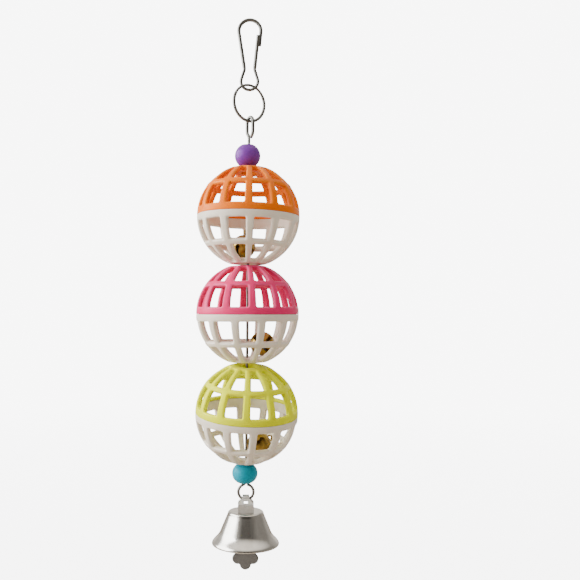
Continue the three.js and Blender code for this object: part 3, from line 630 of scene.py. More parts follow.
def jingle_shell():
    """A thin round shell in two parts. Above the slits it is turned, outside and inside, between the top
    hole and the slit holes. Below, each quarter between crossed slits is a petal whose edge lies half a
    slit, or half a slit hole, from the slit's middle. Angles are in radians."""
    top = math.acos(JINGLE_TOP_HOLE / JINGLE_RADIUS)
    crown_end = 0.13
    slit_hole = JINGLE_SLIT_HOLE / 2
    rows = JINGLE_RADIUS * np.sin(np.linspace(top, crown_end, JINGLE_ROWS))
    seam_rows = np.linspace(JINGLE_SEAM_ZONE, slit_hole - JINGLE_SLIT_DROP, JINGLE_ROWS)
    outer, inner = jingle_skins(np.hstack([rows, seam_rows]))
    quarter = np.pi / 2
    crown = lathe(np.vstack([outer[::-1], inner]), 4 * (PETAL_POINTS - 1), start=quarter / 2)

    tip = -math.sqrt(JINGLE_RADIUS**2 - JINGLE_SLIT**2 / 2)
    hole_sweep = 0.78 * np.pi
    hole_rows = slit_hole * np.cos(np.linspace(0, hole_sweep, SLIT_POINTS)) - JINGLE_SLIT_DROP
    slit_rows = np.linspace(-JINGLE_SLIT_DROP - slit_hole, tip, SLIT_POINTS)
    low = np.hstack([hole_rows, slit_rows])
    drop = low + JINGLE_SLIT_DROP
    half = np.sqrt(np.maximum(slit_hole**2 - drop**2, 0))
    half = np.where(drop < 0, np.maximum(half, JINGLE_SLIT / 2), half)
    outer, inner = jingle_skins(low)
    away = np.arcsin(np.clip(half / outer[:, 0], 0, math.sqrt(0.5)))[:, None]
    share = np.linspace(0, 1, PETAL_POINTS)
    petals = []
    for k in range(4):
        turn = (k + 0.5) * quarter + away + share * (quarter - 2 * away)
        skins = [around(skin[:, :1], turn, skin[:, 1:]) for skin in (outer, inner)]
        petal = np.hstack([skins[0], skins[1][:, ::-1]])
        petals.append((petal, net(*petal.shape[:2], wrap_columns=True)[:, ::-1]))
    return joined(crown, *petals)


def jingle_loop():
    """Round wire loop whose legs go in through the top hole and spread apart inside."""
    neck = JINGLE_LOOP_NECK
    spread = neck + JINGLE_LOOP_SPREAD
    inside = JINGLE_RADIUS - JINGLE_WALL
    top = math.sqrt(inside**2 - (spread + JINGLE_LOOP_WIRE) ** 2) - REST_GAP
    mouth = math.degrees(math.asin(neck / JINGLE_LOOP_RADIUS))
    centre = (0, JINGLE_RADIUS + JINGLE_LOOP_RADIUS)
    round_part = circle(centre, JINGLE_LOOP_RADIUS, mouth - 90, 270 - mouth, 60)
    right = np.array([[spread, top - JINGLE_LOOP_WIRE / 2], [neck, top]])
    flat = np.vstack([right, round_part, (right * [-1, 1])[::-1]])
    line = upright(even_path(flat, JINGLE_LOOP_STEP, JINGLE_LOOP_SOFT))
    return swept_wire(line, JINGLE_LOOP_WIRE, (0, 1, 0), JINGLE_LOOP_SIDES)


def pellet():
    """Ball turned about Z from a half circle."""
    return lathe(circle((0, 0), PELLET_DIAMETER / 2, -90, 90, 17), PELLET_ROUND)


# Bell

def bell_cup():
    """Thin cup turned about Z: flat crown, rounded shoulder, slanted side, a flare that ends upright at the
    rim, a round lip, and the same line inside at the wall."""
    crown = circle((BELL_CROWN - BELL_SHOULDER, -BELL_SHOULDER), BELL_SHOULDER, 90, 0, 9)
    skirt = np.array([BELL_SKIRT, -BELL_SKIRT_DROP])
    pull = (BELL_HEIGHT - BELL_SKIRT_DROP) / 2
    slope = (BELL_SKIRT - BELL_CROWN) / (BELL_SKIRT_DROP - BELL_SHOULDER)
    lip = BELL_WALL / 2
    end = np.array([BELL_RIM, lip - BELL_HEIGHT])
    flare = bezier(26, skirt, skirt + [slope * pull, -pull], end + [0, pull / 2], end)
    side = np.linspace(crown[-1], skirt, 12)[1:-1]
    outside = np.vstack([np.linspace([0, 0], crown[0], 10)[:-1], crown, side, flare])
    tangent = unit(np.gradient(outside, axis=0))
    inside = outside + BELL_WALL * stacked(tangent[:, 1], -tangent[:, 0])
    inside[0] = [0, -BELL_WALL]
    inside[-1] = end - [BELL_WALL, 0]
    round_lip = circle(end - [lip, 0], lip, 0, -180, 7)[1:-1]
    return lathe(np.vstack([outside, round_lip, inside[::-1]])[::-1], BELL_ROUND)


def thick_sheet(middle, normal, thickness, filled):
    """A sheet of the given thickness about a grid of middle points: both faces of each filled cell, and a
    wall wherever a filled cell borders an empty one or the sheet's edge."""
    rows, columns = middle.shape[:2]
    front = np.arange(rows * columns).reshape(rows, columns)
    cell = [front[:-1, :-1], front[:-1, 1:], front[1:, 1:], front[1:, :-1]]
    other = [corner + rows * columns for corner in cell]
    quads = [stacked(*cell)[filled], stacked(*other[::-1])[filled]]
    wide = np.pad(filled, 1)
    near = (wide[:-2, 1:-1], wide[1:-1, 2:], wide[2:, 1:-1], wide[1:-1, :-2])
    for a, beside in enumerate(near):
        b = (a + 1) % 4
        quads.append(stacked(cell[b], cell[a], other[a], other[b])[filled & ~beside])
    points = np.vstack([middle + normal * thickness / 2, middle - normal * thickness / 2])
    return points, np.vstack(quads)


def bell_lug(crown_z, pin_z):
    """Strap bent over the wire's eye: its middle line goes up a leg, over the arch and down the other leg,
    its half width grows from the arch to the feet and narrows to the tabs, and each leg has a slot."""
    arch_top = crown_z + LUG_HEIGHT - LUG_SHEET
    inside = SHANK_WIRE / 2 + REST_GAP
    middle_radius = inside + LUG_SHEET / 2
    arch_z = arch_top - inside
    foot_z = crown_z + LUG_FOOT_HEIGHT
    seat_z = crown_z + LUG_TAB_STEP
    slot_top = arch_top - SHANK_WIRE - REST_GAP
    slot_low = slot_top - LUG_SLOT_HEIGHT
    levels = np.hstack([
        pin_z - TAB_END,
        crown_z,
        np.linspace(seat_z, slot_low, 9),
        np.linspace(slot_low, slot_top, 8)[1:],
        np.linspace(slot_top, arch_z, 4)[1:],
    ])
    lean = np.clip((levels - foot_z) / (arch_z - foot_z), 0, 1)
    leg = stacked(-(LUG_FOOT_Y + (middle_radius - LUG_FOOT_Y) * lean), levels)
    over = circle((0, arch_z), middle_radius, 180, 0, 19)[1:-1]
    line = np.vstack([leg, over, (leg * [-1, 1])[::-1]])

    shoulder = np.clip((line[:, 1] - foot_z) / (arch_top - SHANK_WIRE / 2 - foot_z), 0, 1)
    half = LUG_FOOT_HALF + (LUG_ARCH_HALF - LUG_FOOT_HALF) * shoulder
    half = np.where(line[:, 1] < (crown_z + seat_z) / 2, LUG_TAB_HALF, half)
    slot = LUG_SLOT_HALF
    right = stacked(slot / 2, slot, (slot + half) / 2, half)
    across = np.hstack([-right[:, ::-1], 0 * right[:, :1], right])
    middle = stacked(across, line[:, :1], line[:, 1:])
    tangent = unit(np.gradient(line, axis=0))
    normal = stacked(0.0, -tangent[:, 1], tangent[:, 0])[:, None]

    column = np.arange(across.shape[1] - 1)
    columns_to_side = 2
    between_sides = np.abs(column - column.mean()) < columns_to_side
    centre_z = (line[:-1, 1] + line[1:, 1]) / 2
    in_slot = ((centre_z > slot_low) & (centre_z < slot_top))[:, None] & between_sides
    return thick_sheet(middle, normal, LUG_SHEET, ~in_slot)


def clapper_pin():
    """Pin turned about Y with a low domed head at each end."""
    radius, head = PIN_DIAMETER / 2, PIN_HEAD / 2
    dome = circle((0, 0), 1, 0, 90, 7) * [head, PIN_HEAD_THICKNESS] + [0, PIN_SHANK]
    half = np.vstack([[radius, 0], [radius, PIN_SHANK], [head, PIN_SHANK], dome[1:]])
    points, quads = lathe(np.vstack([(half * [1, -1])[::-1], half[1:]]), PIN_ROUND)
    return points[..., [0, 2, 1]], quads[:, ::-1]


def clapper_face(inner, outline, joint_points, closed):
    """Plate between an inner run of points and an outline: loops widen to the outline's softened edge, go
    round it and close behind. The outline's first joint_points join another plate and have no edge."""
    free = np.ones((len(outline), 1))
    free[:joint_points] = 0
    tangent = np.roll(outline, -1, 0) - np.roll(outline, 1, 0)
    inward = unit(stacked(tangent[:, 1], -tangent[:, 0])) * free * CLAPPER_EDGE_SOFT
    half = CLAPPER_SHEET / 2
    shares = np.linspace(0, 1, 7)[:-1]
    rings = [(inner + (outline + inward - inner) * share, half) for share in shares]
    for angle in QUARTER:
        depth = half - CLAPPER_EDGE_SOFT * (1 - math.cos(angle))
        rings.append((outline + inward * (1 - math.sin(angle)), depth))
    rings += [(ring, -depth) for ring, depth in reversed(rings)]
    points = np.stack([upright(ring) - [0, depth, 0] for ring, depth in rings])
    quads = net(len(rings), len(outline), wrap_rows=closed, wrap_columns=True)
    quads = quads.reshape(-1, len(outline), 4)
    kept = np.ones(quads.shape[:2], bool)
    kept[len(shares) : len(rings) - len(shares) - 1, : joint_points - 1] = False
    return points, quads[kept]


def clapper_plate(pin_z):
    """Flat plate in two parts that meet on a line across the stem: below it, loops about the middle of three
    lobes, whose outline is three arcs with softened notches; above it, loops about the pin's hole."""
    lobe, stem = CLAPPER_LOBE, CLAPPER_STEM
    lowest = pin_z + stem - CLAPPER_LENGTH
    side_z = lowest + 2 * lobe
    cut_z = pin_z - CLAPPER_EYE_LENGTH
    join = np.linspace([-stem, cut_z], [stem, cut_z], CLAPPER_JOIN_POINTS)
    lobes = np.vstack([
        circle((CLAPPER_SPREAD, side_z), lobe, SIDE_LOBE_SWEEP, -SIDE_LOBE_SWEEP, 40),
        circle((0, lowest + lobe), lobe, LOW_LOBE_SWEEP - 90, -LOW_LOBE_SWEEP - 90, 30),
        circle((-CLAPPER_SPREAD, side_z), lobe, 180 + SIDE_LOBE_SWEEP, 180 - SIDE_LOBE_SWEEP, 40),
    ])
    leg_end = [stem, side_z + lobe + CLAPPER_SHOULDER]
    right_leg = np.linspace([stem, cut_z], leg_end, CLAPPER_LEG_POINTS)
    left_leg = (right_leg * [-1, 1])[::-1]
    rough = np.vstack([right_leg[-2:], lobes, left_leg[:2]])
    soft = even_path(rough, CLAPPER_STEP, CLAPPER_NOTCH_SOFT)
    lower = np.vstack([join, right_leg[1:-2], soft, left_leg[2:-1]])
    eye_side = np.linspace([stem, pin_z], [stem, cut_z], 9)[1:-1]
    eye_top = circle((0, pin_z), stem, 180, 0, 33)
    eye = np.vstack([join[::-1], (eye_side * [-1, 1])[::-1], eye_top, eye_side])
    hole = unit(eye - [0, pin_z]) * (PIN_DIAMETER / 2 + REST_GAP) + [0, pin_z]
    middle = np.broadcast_to([0, side_z], lower.shape)
    return joined(
        clapper_face(middle, lower, len(join), closed=False),
        clapper_face(hole, eye, len(join), closed=True),
    )


# Finishes. Scales of noise are per metre, and depths of bump in metres. Spreads take start..end to low..high.

CLOUD_SCALE = 150.0
GRAIN_SCALE = 2200.0
BEAD_CLOUD_SCALE = 260.0
RUB_SCALE = 900.0
RUB_CLOUD_SCALE = 260.0
PLASTIC_CLOUD = {"low": 0.0, "high": 0.5, "start": 0.35, "end": 0.7}
# Painted highlight on softened edges: how much of the pale colour the edge marks lay on
PLASTIC_EDGE_HIGHLIGHT = {"low": 0.0, "high": 0.45}
PLASTIC_GRAIN = {"start": 0.3, "end": 0.7}
PLASTIC_ROUGHNESS = 0.34
BEAD_ROUGHNESS = 0.3
GLOSSIER = 0.06
DULLER = 0.1
PLASTIC_BUMP = (0.12, 0.00004)
PLASTIC_BODY = {
    "Subsurface Weight": 0.12,
    "Subsurface Radius": (1.0, 0.8, 0.6),
    "Subsurface Scale": 0.0015,
    "Specular IOR Level": 0.35,
}
RUB_STREAKS = {"low": 0.0, "high": 1.0, "start": 0.52, "end": 0.78}
RUBBED_DULLER = 0.25
METAL_CLOUD = {"start": 0.4, "end": 0.75}
METAL_CLOUD_SHARE = 0.35
METAL_BUMP = 0.25
METAL_DEPTH = 0.00001
MIX_SOCKETS = {"FLOAT": (2, 3, 0), "RGBA": (6, 7, 2)}

# Each plastic's colour, the pale colour that tints its gloss and is painted along softened edges as a
# highlight, and the deeper colour of its cloud; beads also give their roughness and cloud scale
PLASTICS = {
    "orange_plastic": ("#f27800", "#ff9a30", "#ea6a00"),
    "pink_plastic": ("#e93473", "#f37ba9", "#de2a66"),
    "yellow_plastic": ("#e4ed00", "#eef11c", "#d9e000"),
    "white_plastic": ("#ece4d4", "#f4efe6", "#e4dac8"),
    "purple_bead": ("#7c42a2", "#b37ce1", "#612c86", BEAD_ROUGHNESS, BEAD_CLOUD_SCALE),
    "turquoise_bead": ("#12a0ba", "#3cb0c6", "#0e8a9e", BEAD_ROUGHNESS, BEAD_CLOUD_SCALE),
}
METALS = {
    "nickel_wire": {"tones": ("#82837f", "#61615c"), "roughness": 0.38, "stretch": (1, 1, 0.2)},
    "bell_nickel": {
        "tones": ("#d9d7d2", "#bdb8b0"), "roughness": 0.2, "stretch": (1, 1, 0.04),
        "scale": 330.0, "depth": 0.00012, "cloud_share": 0.5, "turned": True,
    },
    "strap_nickel": {"tones": ("#eceae5", "#d0ccc4"), "roughness": 0.52, "stretch": (1, 1, 0.3)},
    "clapper_steel": {
        "tones": ("#898c8f", "#6a6c6f"), "roughness": 0.42, "stretch": (1, 1, 0.5),
        "scale": 1400.0, "depth": 0.00003,
    },
    "brass": {
        "tones": ("#a88a45", "#5d4a22"), "roughness": 0.3, "stretch": (0.6, 1, 1),
        "scale": 500.0, "cloud_share": 0.6,
    },
    "pellet_steel": {"tones": ("#8d8f92", "#6d6e70"), "roughness": 0.35, "stretch": (1, 1, 1)},
}


def effect(name, inputs, outputs):
    """An empty shader node group of inputs with default values and outputs that are values."""
    group = bpy.data.node_groups.new(name, "ShaderNodeTree")
    for label, value in inputs.items():
        kind = "NodeSocketFloat" if isinstance(value, float) else "NodeSocketVector"
        group.interface.new_socket(label, in_out="INPUT", socket_type=kind).default_value = value
    for label in outputs:
        group.interface.new_socket(label, in_out="OUTPUT", socket_type="NodeSocketFloat")
    return group, group.nodes.new("NodeGroupInput").outputs, group.nodes.new("NodeGroupOutput").inputs


def node(tree, kind, links=(), **values):
    """A node with values set on its properties or inputs, and links of (socket, input name) made to it."""
    made = tree.nodes.new(kind)
    for key, value in values.items():
        if key in made.inputs:
            made.inputs[key].default_value = value
        else:
            setattr(made, key, value)
    for source, target in links:
        tree.links.new(source, made.inputs[target])
    return made


def fill(tree, socket, value):
    """Sets a socket to a number or colour, or links another socket to it."""
    if isinstance(value, (float, tuple)):
        socket.default_value = value
    else:
        tree.links.new(value, socket)


def maths(tree, operation, first, second):
    """One operation on two values, each a number or a socket."""
    made = node(tree, "ShaderNodeMath", operation=operation)
    fill(tree, made.inputs[0], first)
    fill(tree, made.inputs[1], second)
    return made.outputs[0]


def mixed(tree, share, first, second, kind="RGBA"):
    """A colour, or a number where kind is FLOAT, that goes from first to second with share."""
    made = node(tree, "ShaderNodeMix", [(share, 0)], data_type=kind)
    first_in, second_in, result = MIX_SOCKETS[kind]
    fill(tree, made.inputs[first_in], first)
    fill(tree, made.inputs[second_in], second)
    return made.outputs[result]


def ranged(tree, value, low, high, start=0.0, end=1.0):
    """A value spread from start..end to low..high."""
    spread = {"From Min": start, "From Max": end, "To Min": low, "To Max": high}
    return node(tree, "ShaderNodeMapRange", [(value, "Value")], **spread).outputs[0]


def srgb(code):
    """A colour from its hexadecimal code, in linear light by the sRGB curve."""
    values = [int(code[k:k + 2], 16) / 255 for k in (1, 3, 5)]
    return tuple(v / 12.92 if v <= 0.04045 else ((v + 0.055) / 1.055) ** 2.4 for v in values) + (1.0,)


def mottle_effect():
    """Cloudy shade and fine grain: two noises, coarse and fine, each as a value about 0.5."""
    inputs = {"Vector": (0.0, 0.0, 0.0), "Cloud Scale": CLOUD_SCALE, "Grain Scale": GRAIN_SCALE}
    group, given, wanted = effect("mottle", inputs, ("Cloud", "Grain"))
    for label, detail in (("Cloud", 3.0), ("Grain", 2.0)):
        links = [(given["Vector"], "Vector"), (given[f"{label} Scale"], "Scale")]
        noise = node(group, "ShaderNodeTexNoise", links, Detail=detail)
        group.links.new(noise.outputs["Fac"], wanted[label])
    return group


def rub_effect():
    """Handling marks on metal: a mask of fine streaks along one direction, thinned by a cloud."""
    inputs = {"Vector": (0.0, 0.0, 0.0), "Stretch": (1.0, 1.0, 1.0), "Scale": RUB_SCALE}
    group, given, wanted = effect("rub_marks", inputs, ("Mask", "Cloud"))
    links = [(given["Vector"], 0), (given["Stretch"], 1)]
    along = node(group, "ShaderNodeVectorMath", links, operation="MULTIPLY").outputs[0]
    links = [(along, "Vector"), (given["Scale"], "Scale")]
    streak = node(group, "ShaderNodeTexNoise", links, Detail=4.0, Roughness=0.65).outputs["Fac"]
    links = [(given["Vector"], "Vector")]
    cloud = node(group, "ShaderNodeTexNoise", links, Scale=RUB_CLOUD_SCALE, Detail=2.0).outputs["Fac"]
    mask = maths(group, "MULTIPLY", ranged(group, streak, **RUB_STREAKS), cloud)
    group.links.new(mask, wanted["Mask"])
    group.links.new(cloud, wanted["Cloud"])
    return group


MOTTLE = mottle_effect()
RUB_MARKS = rub_effect()


def new_material(name, values):
    """A material, its node tree, its shader with values set, and the socket of its Object coordinates."""
    material = bpy.data.materials.new(name)
    material.use_nodes = True
    tree = material.node_tree
    shader = tree.nodes["Principled BSDF"]
    for label, value in values.items():
        shader.inputs[label].default_value = value
    return material, tree, shader, tree.nodes.new("ShaderNodeTexCoord").outputs["Object"]


def dress(tree, shader, colour, gloss, height, strength, depth):
    """Links a colour, a roughness and a bump of the given height to a shader."""
    bump = node(tree, "ShaderNodeBump", [(height, "Height")], Strength=strength, Distance=depth)
    tree.links.new(colour, shader.inputs["Base Color"])
    tree.links.new(gloss, shader.inputs["Roughness"])
    tree.links.new(bump.outputs[0], shader.inputs["Normal"])


def moulded_plastic(name, colour, highlight_tint, deep, roughness=PLASTIC_ROUGHNESS, cloud_scale=CLOUD_SCALE):
    """Semi-gloss plastic: cloudy colour, a painted highlight of the pale highlight tint along softened edges,
    fine grain in gloss and surface.
    """
    body_values = PLASTIC_BODY | {"Specular Tint": srgb(highlight_tint)}
    material, tree, shader, place = new_material(name, body_values)
    scale = {"Cloud Scale": cloud_scale}
    mottle = node(tree, "ShaderNodeGroup", [(place, "Vector")], node_tree=MOTTLE, **scale)
    grain = mottle.outputs["Grain"]
    edge = node(tree, "ShaderNodeAttribute", attribute_name="edge").outputs["Fac"]
    cloud = ranged(tree, mottle.outputs["Cloud"], **PLASTIC_CLOUD)
    body = mixed(tree, cloud, srgb(colour), srgb(deep))
    # Painted highlight: the pale highlight tint laid over the softened edges that the attribute edge marks
    with_edge_highlight = mixed(tree, ranged(tree, edge, **PLASTIC_EDGE_HIGHLIGHT), body, srgb(highlight_tint))
    gloss = ranged(tree, grain, roughness - GLOSSIER, roughness + DULLER, **PLASTIC_GRAIN)
    dress(tree, shader, with_edge_highlight, gloss, grain, *PLASTIC_BUMP)
    return material


def round_the_middle(tree, place):
    """A place as its arc round the toy's middle line, from the front, at the bell's rim, and its height."""
    axes = node(tree, "ShaderNodeSeparateXYZ", [(place, 0)]).outputs
    forward = maths(tree, "MULTIPLY", axes["Y"], -1.0)
    arc = maths(tree, "MULTIPLY", maths(tree, "ARCTAN2", axes["X"], forward), BELL_RIM * MM)
    return node(tree, "ShaderNodeCombineXYZ", [(arc, "X"), (axes["Z"], "Z")]).outputs[0]


def bright_metal(
    name, tones, roughness, stretch,
    scale=RUB_SCALE, depth=METAL_DEPTH, cloud_share=METAL_CLOUD_SHARE, turned=False,
):
    """Bare or plated metal: a cloudy tone, streaks of handling that dull the gloss, and a faint unevenness.
    On a turned piece the streaks run down its side."""
    material, tree, shader, place = new_material(name, {"Metallic": 1.0})
    links = [(round_the_middle(tree, place) if turned else place, "Vector")]
    rub = node(tree, "ShaderNodeGroup", links, node_tree=RUB_MARKS, Stretch=stretch, Scale=scale)
    mask = rub.outputs["Mask"]
    cloud = ranged(tree, rub.outputs["Cloud"], 0.0, cloud_share, **METAL_CLOUD)
    gloss = ranged(tree, mask, roughness, roughness + RUBBED_DULLER)
    dress(tree, shader, mixed(tree, cloud, *map(srgb, tones)), gloss, mask, METAL_BUMP, depth)
    return material


FINISHES = {name: moulded_plastic(name, *values) for name, values in PLASTICS.items()}
FINISHES |= {name: bright_metal(name, **values) for name, values in METALS.items()}


# Pieces

FRONT = np.array([0, -1.0, 0])
UP = np.array([0, 0, 1])
ring_across = np.array([math.cos(math.radians(RING_TURN)), math.sin(math.radians(RING_TURN)), 0])
ring_normal = np.array([-ring_across[1], ring_across[0], 0])


def make_hook():
    """Hook and gate, one wire cut at the gate's bend."""
    line, first = hook_line()
    thick = plated(HOOK_WIRE, (line[:, 2] - waist_level) / HOOK_WIRE)
    hook = swept_wire(line[: first + 1], thick[: first + 1], FRONT, tips=(HOOK_TIP_ROUND, 0))
    gate = swept_wire(line[first:], thick[first:], FRONT, tips=(0, HOOK_TIP_ROUND))
    piece("hook_wire", hook, "nickel_wire", "hook", "snap_hook")
    bend = PIVOT["gate_flex"]
    flex = ("gate", tuple(bend * MM), tuple((bend + [0, 0, GATE_BEND]) * MM))
    piece("gate_wire", gate, "nickel_wire", "hook", "hook_gate", blend=flex)


def make_ring():
    """Ring of wire with a narrow join at its side."""
    radius = (RING_DIAMETER - RING_WIRE) / 2
    centre = (PIVOT["ring_swing"] + PIVOT["wire_swing"]) / 2
    join = math.degrees(RING_JOIN / 2 / radius)
    flat = circle((0, 0), radius, -join, join - 360, RING_POINTS)
    line = centre + flat[:, :1] * ring_across + flat[:, 1:] * UP
    plated_below, bare_above = RING_RUBBED
    share = (bare_above - flat[:, 1] / radius) / (bare_above - plated_below)
    ring = swept_wire(line, plated(RING_WIRE, share), ring_normal)
    piece("ring_wire", ring, "nickel_wire", "ring", "hanging_ring")


def make_centre_wire():
    """Upper eye, shank and lower eye as one wire. The section's axis turns evenly along the shank from one
    eye's plane to the other's."""
    eye_top = PIVOT["wire_swing"][2] + (RING_WIRE + SHANK_WIRE) / 2 + REST_GAP
    upper, neck_low = upper_eye(eye_top)
    lower, shank_end = lower_eye(PIVOT["bell_swing"][2])
    upper_line = upper[:, :1] * ring_normal + upper[:, 1:] * UP
    line = even_path(np.vstack([upper_line, upright(lower)]), WIRE_STEP, SHANK_SOFT)
    share = np.clip((line[:, 2:] - neck_low) / (shank_end - neck_low), 0, 1)
    across = unit((share - 1) * ring_across + share * FRONT)
    thick = plated(SHANK_WIRE, (line[:, 2] - neck_low) / SHANK_WIRE)
    wire = swept_wire(line, thick, across)
    piece("straight_wire", wire, "nickel_wire", "wire", "centre_wire")


def make_beads():
    """The bead above the balls and the one below them."""
    top = placed(bead(TOP_BEAD_LENGTH), at=PIVOT["upper_bead_spin"])
    bottom = placed(bead(BOTTOM_BEAD_LENGTH), at=PIVOT["lower_bead_spin"])
    piece("purple_bead", top, "purple_bead", "upper_bead", "top_bead")
    piece("turquoise_bead", bottom, "turquoise_bead", "lower_bead", "bottom_bead")


def turn_about(axis, degrees):
    """Matrix of a turn about an axis."""
    return Matrix.Rotation(math.radians(degrees), 3, axis)


def make_balls():
    """Each ball's two halves, and the jingle bell, loop and pellet in it, leaning with the ball."""
    upper_half, lower_half = half_ball(lipped=False), half_ball(lipped=True)
    shell, loop, grain = jingle_shell(), jingle_loop(), pellet()
    for colour, ball in BALLS.items():
        body, plastic = f"{colour}_ball", f"{colour}_plastic"
        centre = PIVOT[f"{colour}_ball_spin"]
        lean = turn_about("X", ball["front"]) @ turn_about("Y", ball["right"])
        shift = np.array(lean @ Vector((0, 0, HALF_SHIFT)))
        turn = lean @ turn_about("Z", ball["upper"])
        half = placed(upper_half, turn, centre + shift)
        piece(f"{colour}_upper_half", half, plastic, body, f"{colour}_upper_shell")
        turn = lean @ turn_about("Z", ball["lower"]) @ turn_about("X", 180)
        half = placed(lower_half, turn, centre - shift)
        piece(f"{colour}_lower_half", half, "white_plastic", body, f"{colour}_lower_shell")

        jingle = f"{colour}_jingle"
        at = PIVOT[f"{colour}_pellet_roll"]
        lies = lean @ turn_about("Z", ball["jingle"])
        turn = lies @ turn_about("Y", ball["tip"])
        low = np.array(lies @ Vector((0, 0, -PELLET_REACH)))
        piece(jingle, placed(shell, turn, at), "brass", jingle, f"{jingle}_shell")
        piece(f"{jingle}_wire", placed(loop, turn, at), "brass", jingle, f"{jingle}_loop")
        grain_here = placed(grain, at=at + low)
        name = f"{colour}_pellet"
        piece(name, grain_here, "pellet_steel", name, f"{jingle}_pellet")


def make_bell():
    """Cup, strap with softened edges, pin and clapper."""
    pin_z = PIVOT["clapper_swing"][2]
    crown_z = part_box("bell_cup")[1][2] / MM
    cup = placed(bell_cup(), at=(0, 0, crown_z))
    pin = placed(clapper_pin(), at=(0, 0, pin_z))
    piece("bell", cup, "bell_nickel", "bell", "bell_cup")
    strap = piece("bell_strap", bell_lug(crown_z, pin_z), "strap_nickel", "bell", "bell_lug")
    soft = strap.modifiers.new("soft_edges", "BEVEL")
    soft.width = LUG_SOFT * MM
    soft.segments = LUG_SOFT_STEPS
    soft.limit_method = "ANGLE"
    soft.angle_limit = math.radians(LUG_SOFT_ANGLE)
    piece("bell_pin", pin, "nickel_wire", "bell", "clapper_pin")
    piece("flat_clapper", clapper_plate(pin_z), "clapper_steel", "clapper", "clapper")


make_hook()
make_ring()
make_centre_wire()
make_beads()
make_balls()
make_bell()


# Floor, light and camera, in metres

FLOOR_Z = -0.3
FLOOR_HALF = 3
FLOOR_BODY = {"Base Color": (0.42, 0.36, 0.3, 1.0), "Roughness": 0.9}
FLOOR_FADE = {"low": 0.8, "high": 1.0, "start": 0.2, "end": 1.2}
WARM_LIGHT = (1.0, 0.93, 0.84, 1.0)
WHITE = (1.0, 1.0, 1.0, 1.0)

# Glow of the backdrop as seen and as mirrored in metal, glow of the room, and the room's brighter sides: an
# axis, the glow, and the parts of the axis where it starts and is whole
BACKDROP = 8.0
BACKDROP_MIRRORED = 1.2
MIRRORED_FROM = {"start": 0.6, "end": 0.9}
ROOM = 0.06
ROOM_SIDES = (
    ("X", 0.6, -0.4, -0.7),
    ("X", 0.25, 0.4, 0.8),
    ("Y", 0.5, 0.1, 0.6),
    ("Z", 1.6, 0.5, 0.9),
)
LIGHTS_AIM = (0, 0, -0.1)

# The camera's distance is in pixels of the photograph. TOP_PIXEL is the row of the hook's top, and EYE_PIXEL
# is the place that the camera looks straight at.
PHOTO_SIZE = 580
PIXEL = 0.39 * MM
CAMERA_DISTANCE = 800 * PIXEL
TOP_PIXEL = 21.5
EYE_PIXEL = (247.6, 300)
ROLL = 0.5
NEAREST = 0.01


def make_floor():
    """Pale floor that glows like the backdrop to the camera, more so away from the middle."""
    ends = (-FLOOR_HALF, FLOOR_HALF)
    mesh = bpy.data.meshes.new("floor")
    mesh.from_pydata([(x, y, FLOOR_Z) for x in ends for y in ends], [], [(0, 2, 3, 1)])
    floor = added("floor", mesh)
    material, tree, shader, place = new_material("pale_floor", FLOOR_BODY)
    away = node(tree, "ShaderNodeVectorMath", [(place, 0)], operation="LENGTH").outputs["Value"]
    seen = node(tree, "ShaderNodeLightPath").outputs["Is Camera Ray"]
    veil = maths(tree, "MULTIPLY", ranged(tree, away, **FLOOR_FADE), seen)
    glow = node(tree, "ShaderNodeEmission", Strength=BACKDROP).outputs[0]
    blend = node(tree, "ShaderNodeMixShader", [(veil, 0), (shader.outputs[0], 1), (glow, 2)])
    tree.links.new(blend.outputs[0], tree.nodes["Material Output"].inputs["Surface"])
    mesh.materials.append(material)


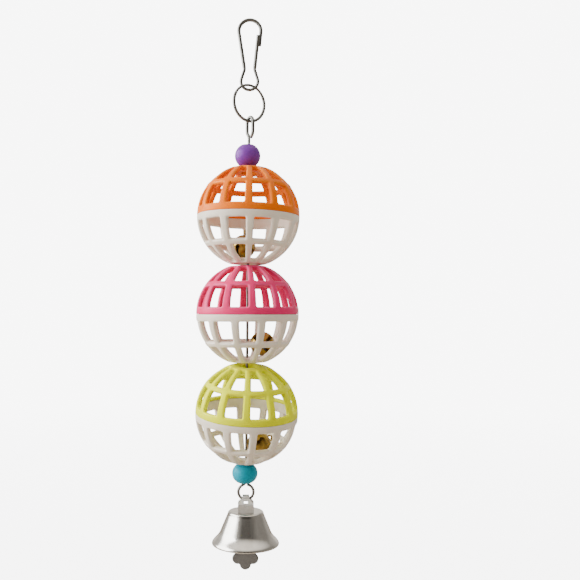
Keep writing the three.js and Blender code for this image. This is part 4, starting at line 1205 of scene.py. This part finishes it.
def make_room():
    """World light: a dim warm room with brighter sides, a bright backdrop behind the toy for the camera, and
    a weaker one for what metal mirrors."""
    world = bpy.data.worlds.new("studio")
    bpy.context.scene.world = world
    world.use_nodes = True
    tree = world.node_tree
    background = tree.nodes["Background"]
    aim = node(tree, "ShaderNodeTexCoord").outputs["Generated"]
    axes = node(tree, "ShaderNodeSeparateXYZ", [(aim, 0)]).outputs
    rays = node(tree, "ShaderNodeLightPath").outputs
    brightest = 0.0
    for axis, glow, start, end in ROOM_SIDES:
        brightest = maths(tree, "MAXIMUM", brightest, ranged(tree, axes[axis], 0.0, glow, start, end))
    room = maths(tree, "ADD", brightest, ROOM)
    behind = ranged(tree, axes["Y"], 0.0, BACKDROP_MIRRORED, **MIRRORED_FROM)
    mirrored = maths(tree, "MULTIPLY", behind, rays["Is Glossy Ray"])
    light = maths(tree, "MAXIMUM", room, mirrored)
    seen = rays["Is Camera Ray"]
    strength = mixed(tree, seen, light, BACKDROP, "FLOAT")
    tree.links.new(strength, background.inputs["Strength"])
    tree.links.new(mixed(tree, seen, WARM_LIGHT, WHITE), background.inputs["Color"])


def soft_box(name, at, width, height, power, mirrored=True):
    """A soft light of the given width and height, aimed at the toy. One that is not mirrored leaves no
    bright patch on gloss."""
    light = bpy.data.lights.new(name, "AREA")
    light.energy = power
    light.shape = "RECTANGLE"
    light.size = width
    light.size_y = height
    made = added(name, light)
    made.location = at
    made.visible_glossy = mirrored
    made.rotation_euler = (Vector(LIGHTS_AIM) - Vector(at)).to_track_quat("-Z", "Y").to_euler()


def make_camera():
    """Camera level with EYE_PIXEL's row, with the shift that puts the toy where the photograph has it."""
    lens = bpy.data.cameras.new("camera")
    lens.lens = lens.sensor_width * CAMERA_DISTANCE / (PHOTO_SIZE * PIXEL)
    lens.shift_x = (PHOTO_SIZE / 2 - EYE_PIXEL[0]) / PHOTO_SIZE
    lens.shift_y = (EYE_PIXEL[1] - PHOTO_SIZE / 2) / PHOTO_SIZE
    lens.clip_start = NEAREST
    camera = added("camera", lens)
    camera.location = (0, -CAMERA_DISTANCE, -(EYE_PIXEL[1] - TOP_PIXEL) * PIXEL)
    camera.rotation_euler = (turn_about("X", 90) @ turn_about("Z", ROLL)).to_euler()
    bpy.context.scene.camera = camera


make_floor()
make_room()
soft_box("left_light", (-0.57, -0.05, 0.1), width=0.7, height=0.5, power=11.0)
soft_box("right_fill", (0.57, -0.3, 0.0), width=0.5, height=0.5, power=1.0, mirrored=False)
make_camera()
